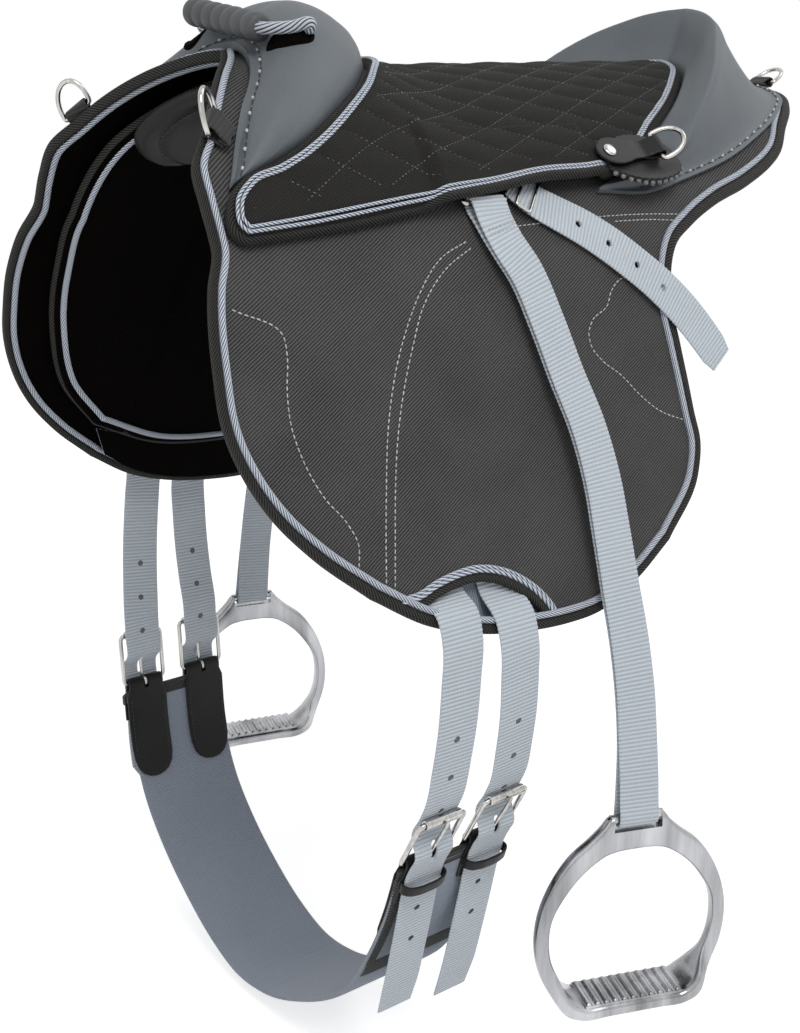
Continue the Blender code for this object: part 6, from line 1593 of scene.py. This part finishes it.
# Painted shade in the billets' holes: a grey darker than the webbing for the upper ones, and near-black for
# the lower ones, where the hole would show dark.
SHADED_FUSED_GREY = spun("shaded_fused_grey", (0.080, 0.092, 0.104), (0.160, 0.180, 0.200), 0.6, 900)
HOLE_SHADE_BLACK = spun("hole_shade_black", (0.006, 0.006, 0.007), (0.018, 0.018, 0.020), 0.6, 900)


def hole_wafers(name, centres, ways, colouring):
    """A thin round wafer in each of a strap's holes at half its depth, where melted fibres close it, coloured
    darker than the strap as painted shade in the hole.
    """
    side, top = unit(np.cross(ways, RIGHT)), np.broadcast_to(RIGHT, ways.shape)
    wafer = [(h, 1.06 * HOLE_RADIUS) for h in (-0.0004, 0.0004)]
    beads(name, centres, ways, side, top, wafer, 14, colouring, "saddle")


share, across_guard = np.linspace(0, 1, 80), np.linspace(0, 1, 16)
guard = (through(GUARD_TOP)(share)[None] * (1 - across_guard)[:, None, None]
         + through(GUARD_FOOT)(share)[None] * across_guard[:, None, None])
for word, side in SIDES.items():
    for layer, h, colouring, slot in (("web", PANEL_OUTER - 0.0005, GIRTH_WEB, "girth_web"),
                                      ("lining", PANEL_OUTER - 0.0016, LINING, "lining")):
        shell(f"girth_guard_{layer}_{word}", skin(guard[..., 0], guard[..., 1], h) * (1, side, 1),
              skin(guard[..., 0], guard[..., 1], h - GUARD_THICK) * (1, side, 1), guard, colouring, slot,
              "saddle")
    for which in ("front", "rear"):
        x_top, x_foot = BILLET_X[which], BUCKLE_X[word][which]
        moon_v, rim_v, past_v = BILLET_MOON[which]
        hidden = [skin(x_top, v * side, -BILLET_DROP) for v in np.linspace(BILLET_TOP, moon_v - 0.02, 11)]
        route = hidden + [skin(x_top, moon_v * side, -BILLET_DROP + 0.0004),
                          skin(x_top, rim_v * side, BILLET_OVER_RIM),
                          skin(x_top, past_v * side, BILLET_OVER_RIM)]
        up, out = lean(word)
        heel = girth_at(word, 0, x_foot)
        above = heel + up * (BUCKLE_RISE + 0.012) - out * (BEHIND_ROLLER + 0.0006)
        for share in (0.25, 0.5, 0.75):
            straight = route[13] * (1 - share) + above * share
            route.append(straight + side * np.array([0, 0.004 * math.sin(math.pi * share), 0]))
        route += [above, heel + up * BUCKLE_RISE - out * BEHIND_ROLLER,
                  heel + up * 0.62 * BUCKLE_RISE - out * BEHIND_ROLLER,
                  heel + up * 0.32 * BUCKLE_RISE + out * OVER_TONGUE, heel + up * 0.002 + out * OVER_TONGUE]
        reach = BILLET_TAIL[word][which] + BILLET_LONGER[word]
        left = girth_at(word, 0.035, x_foot, OVER_LEAF + 0.001)
        onward = unit(left - girth_at(word, 0.025, x_foot, OVER_LEAF))
        for along in [0.008, KEEPER_AT, KEEPER_AT + 0.008] + list(np.linspace(0.035, reach, 5)):
            away = np.clip((along - 0.028) / 0.080, 0, 1)
            lying = girth_at(word, along, x_foot, OVER_LEAF + BILLET_FLARE[word] * away)
            hanging = left + onward * (along - 0.035)
            route.append(lying + BILLET_STRAIGHT[word] * (along > 0.035) * (hanging - lying))
        route = np.array(route)
        width = np.full(len(route), BILLET_WIDTH)
        width[-1] = BILLET_TIP[word] * BILLET_WIDTH
        billet = strap(f"billet_web_{word}_{which}", route, RIGHT, width, WEB_THICK, GREY_WEB, "grey_web",
                       "saddle", f"billet_{word}_{which}")
        run = lengths(route)
        window = 0.5 * (run[19] + run[20])
        spots = [window - (k + 1) * BILLET_HOLE_PITCH for k in range(BILLET_HOLES_UP)]
        spots += [window + (k + BILLET_HOLES_APART) * BILLET_HOLE_PITCH for k in range(BILLET_HOLES_DOWN)]
        spots = np.array([a for a in spots if a < run[-1] - 0.5 * BILLET_HOLE_PITCH])
        line = even(route, 0.0006)
        fine = lengths(line)
        spots = spots * fine[-1] / run[-1]
        centres, ways = (np.stack([np.interp(spots, fine, part[:, c]) for c in range(3)], -1)
                         for part in (line, np.gradient(line, axis=0)))
        ways = unit(np.cross(RIGHT, ways))
        punched(billet, centres, ways, HOLE_RADIUS, 2 * WEB_THICK)
        # Upper holes: melted fibre in a painted-shade grey; lower holes: a near-black disc of painted shade.
        for name, some, colouring in (("upper", slice(BILLET_HOLES_UP), SHADED_FUSED_GREY),
                                      ("lower", slice(BILLET_HOLES_UP, None), HOLE_SHADE_BLACK)):
            hole_wafers(f"billet_{name}_holes_{word}_{which}", centres[some], ways[some], colouring)
        centre = heel + up * 0.5 * sum(TONGUE_HOLE) + out * 0.3 * OVER_TONGUE
        punched(billet, [centre], [out], HOLE_RADIUS, 4 * WEB_THICK,
                up * (0.5 * (TONGUE_HOLE[1] - TONGUE_HOLE[0]) - HOLE_RADIUS))
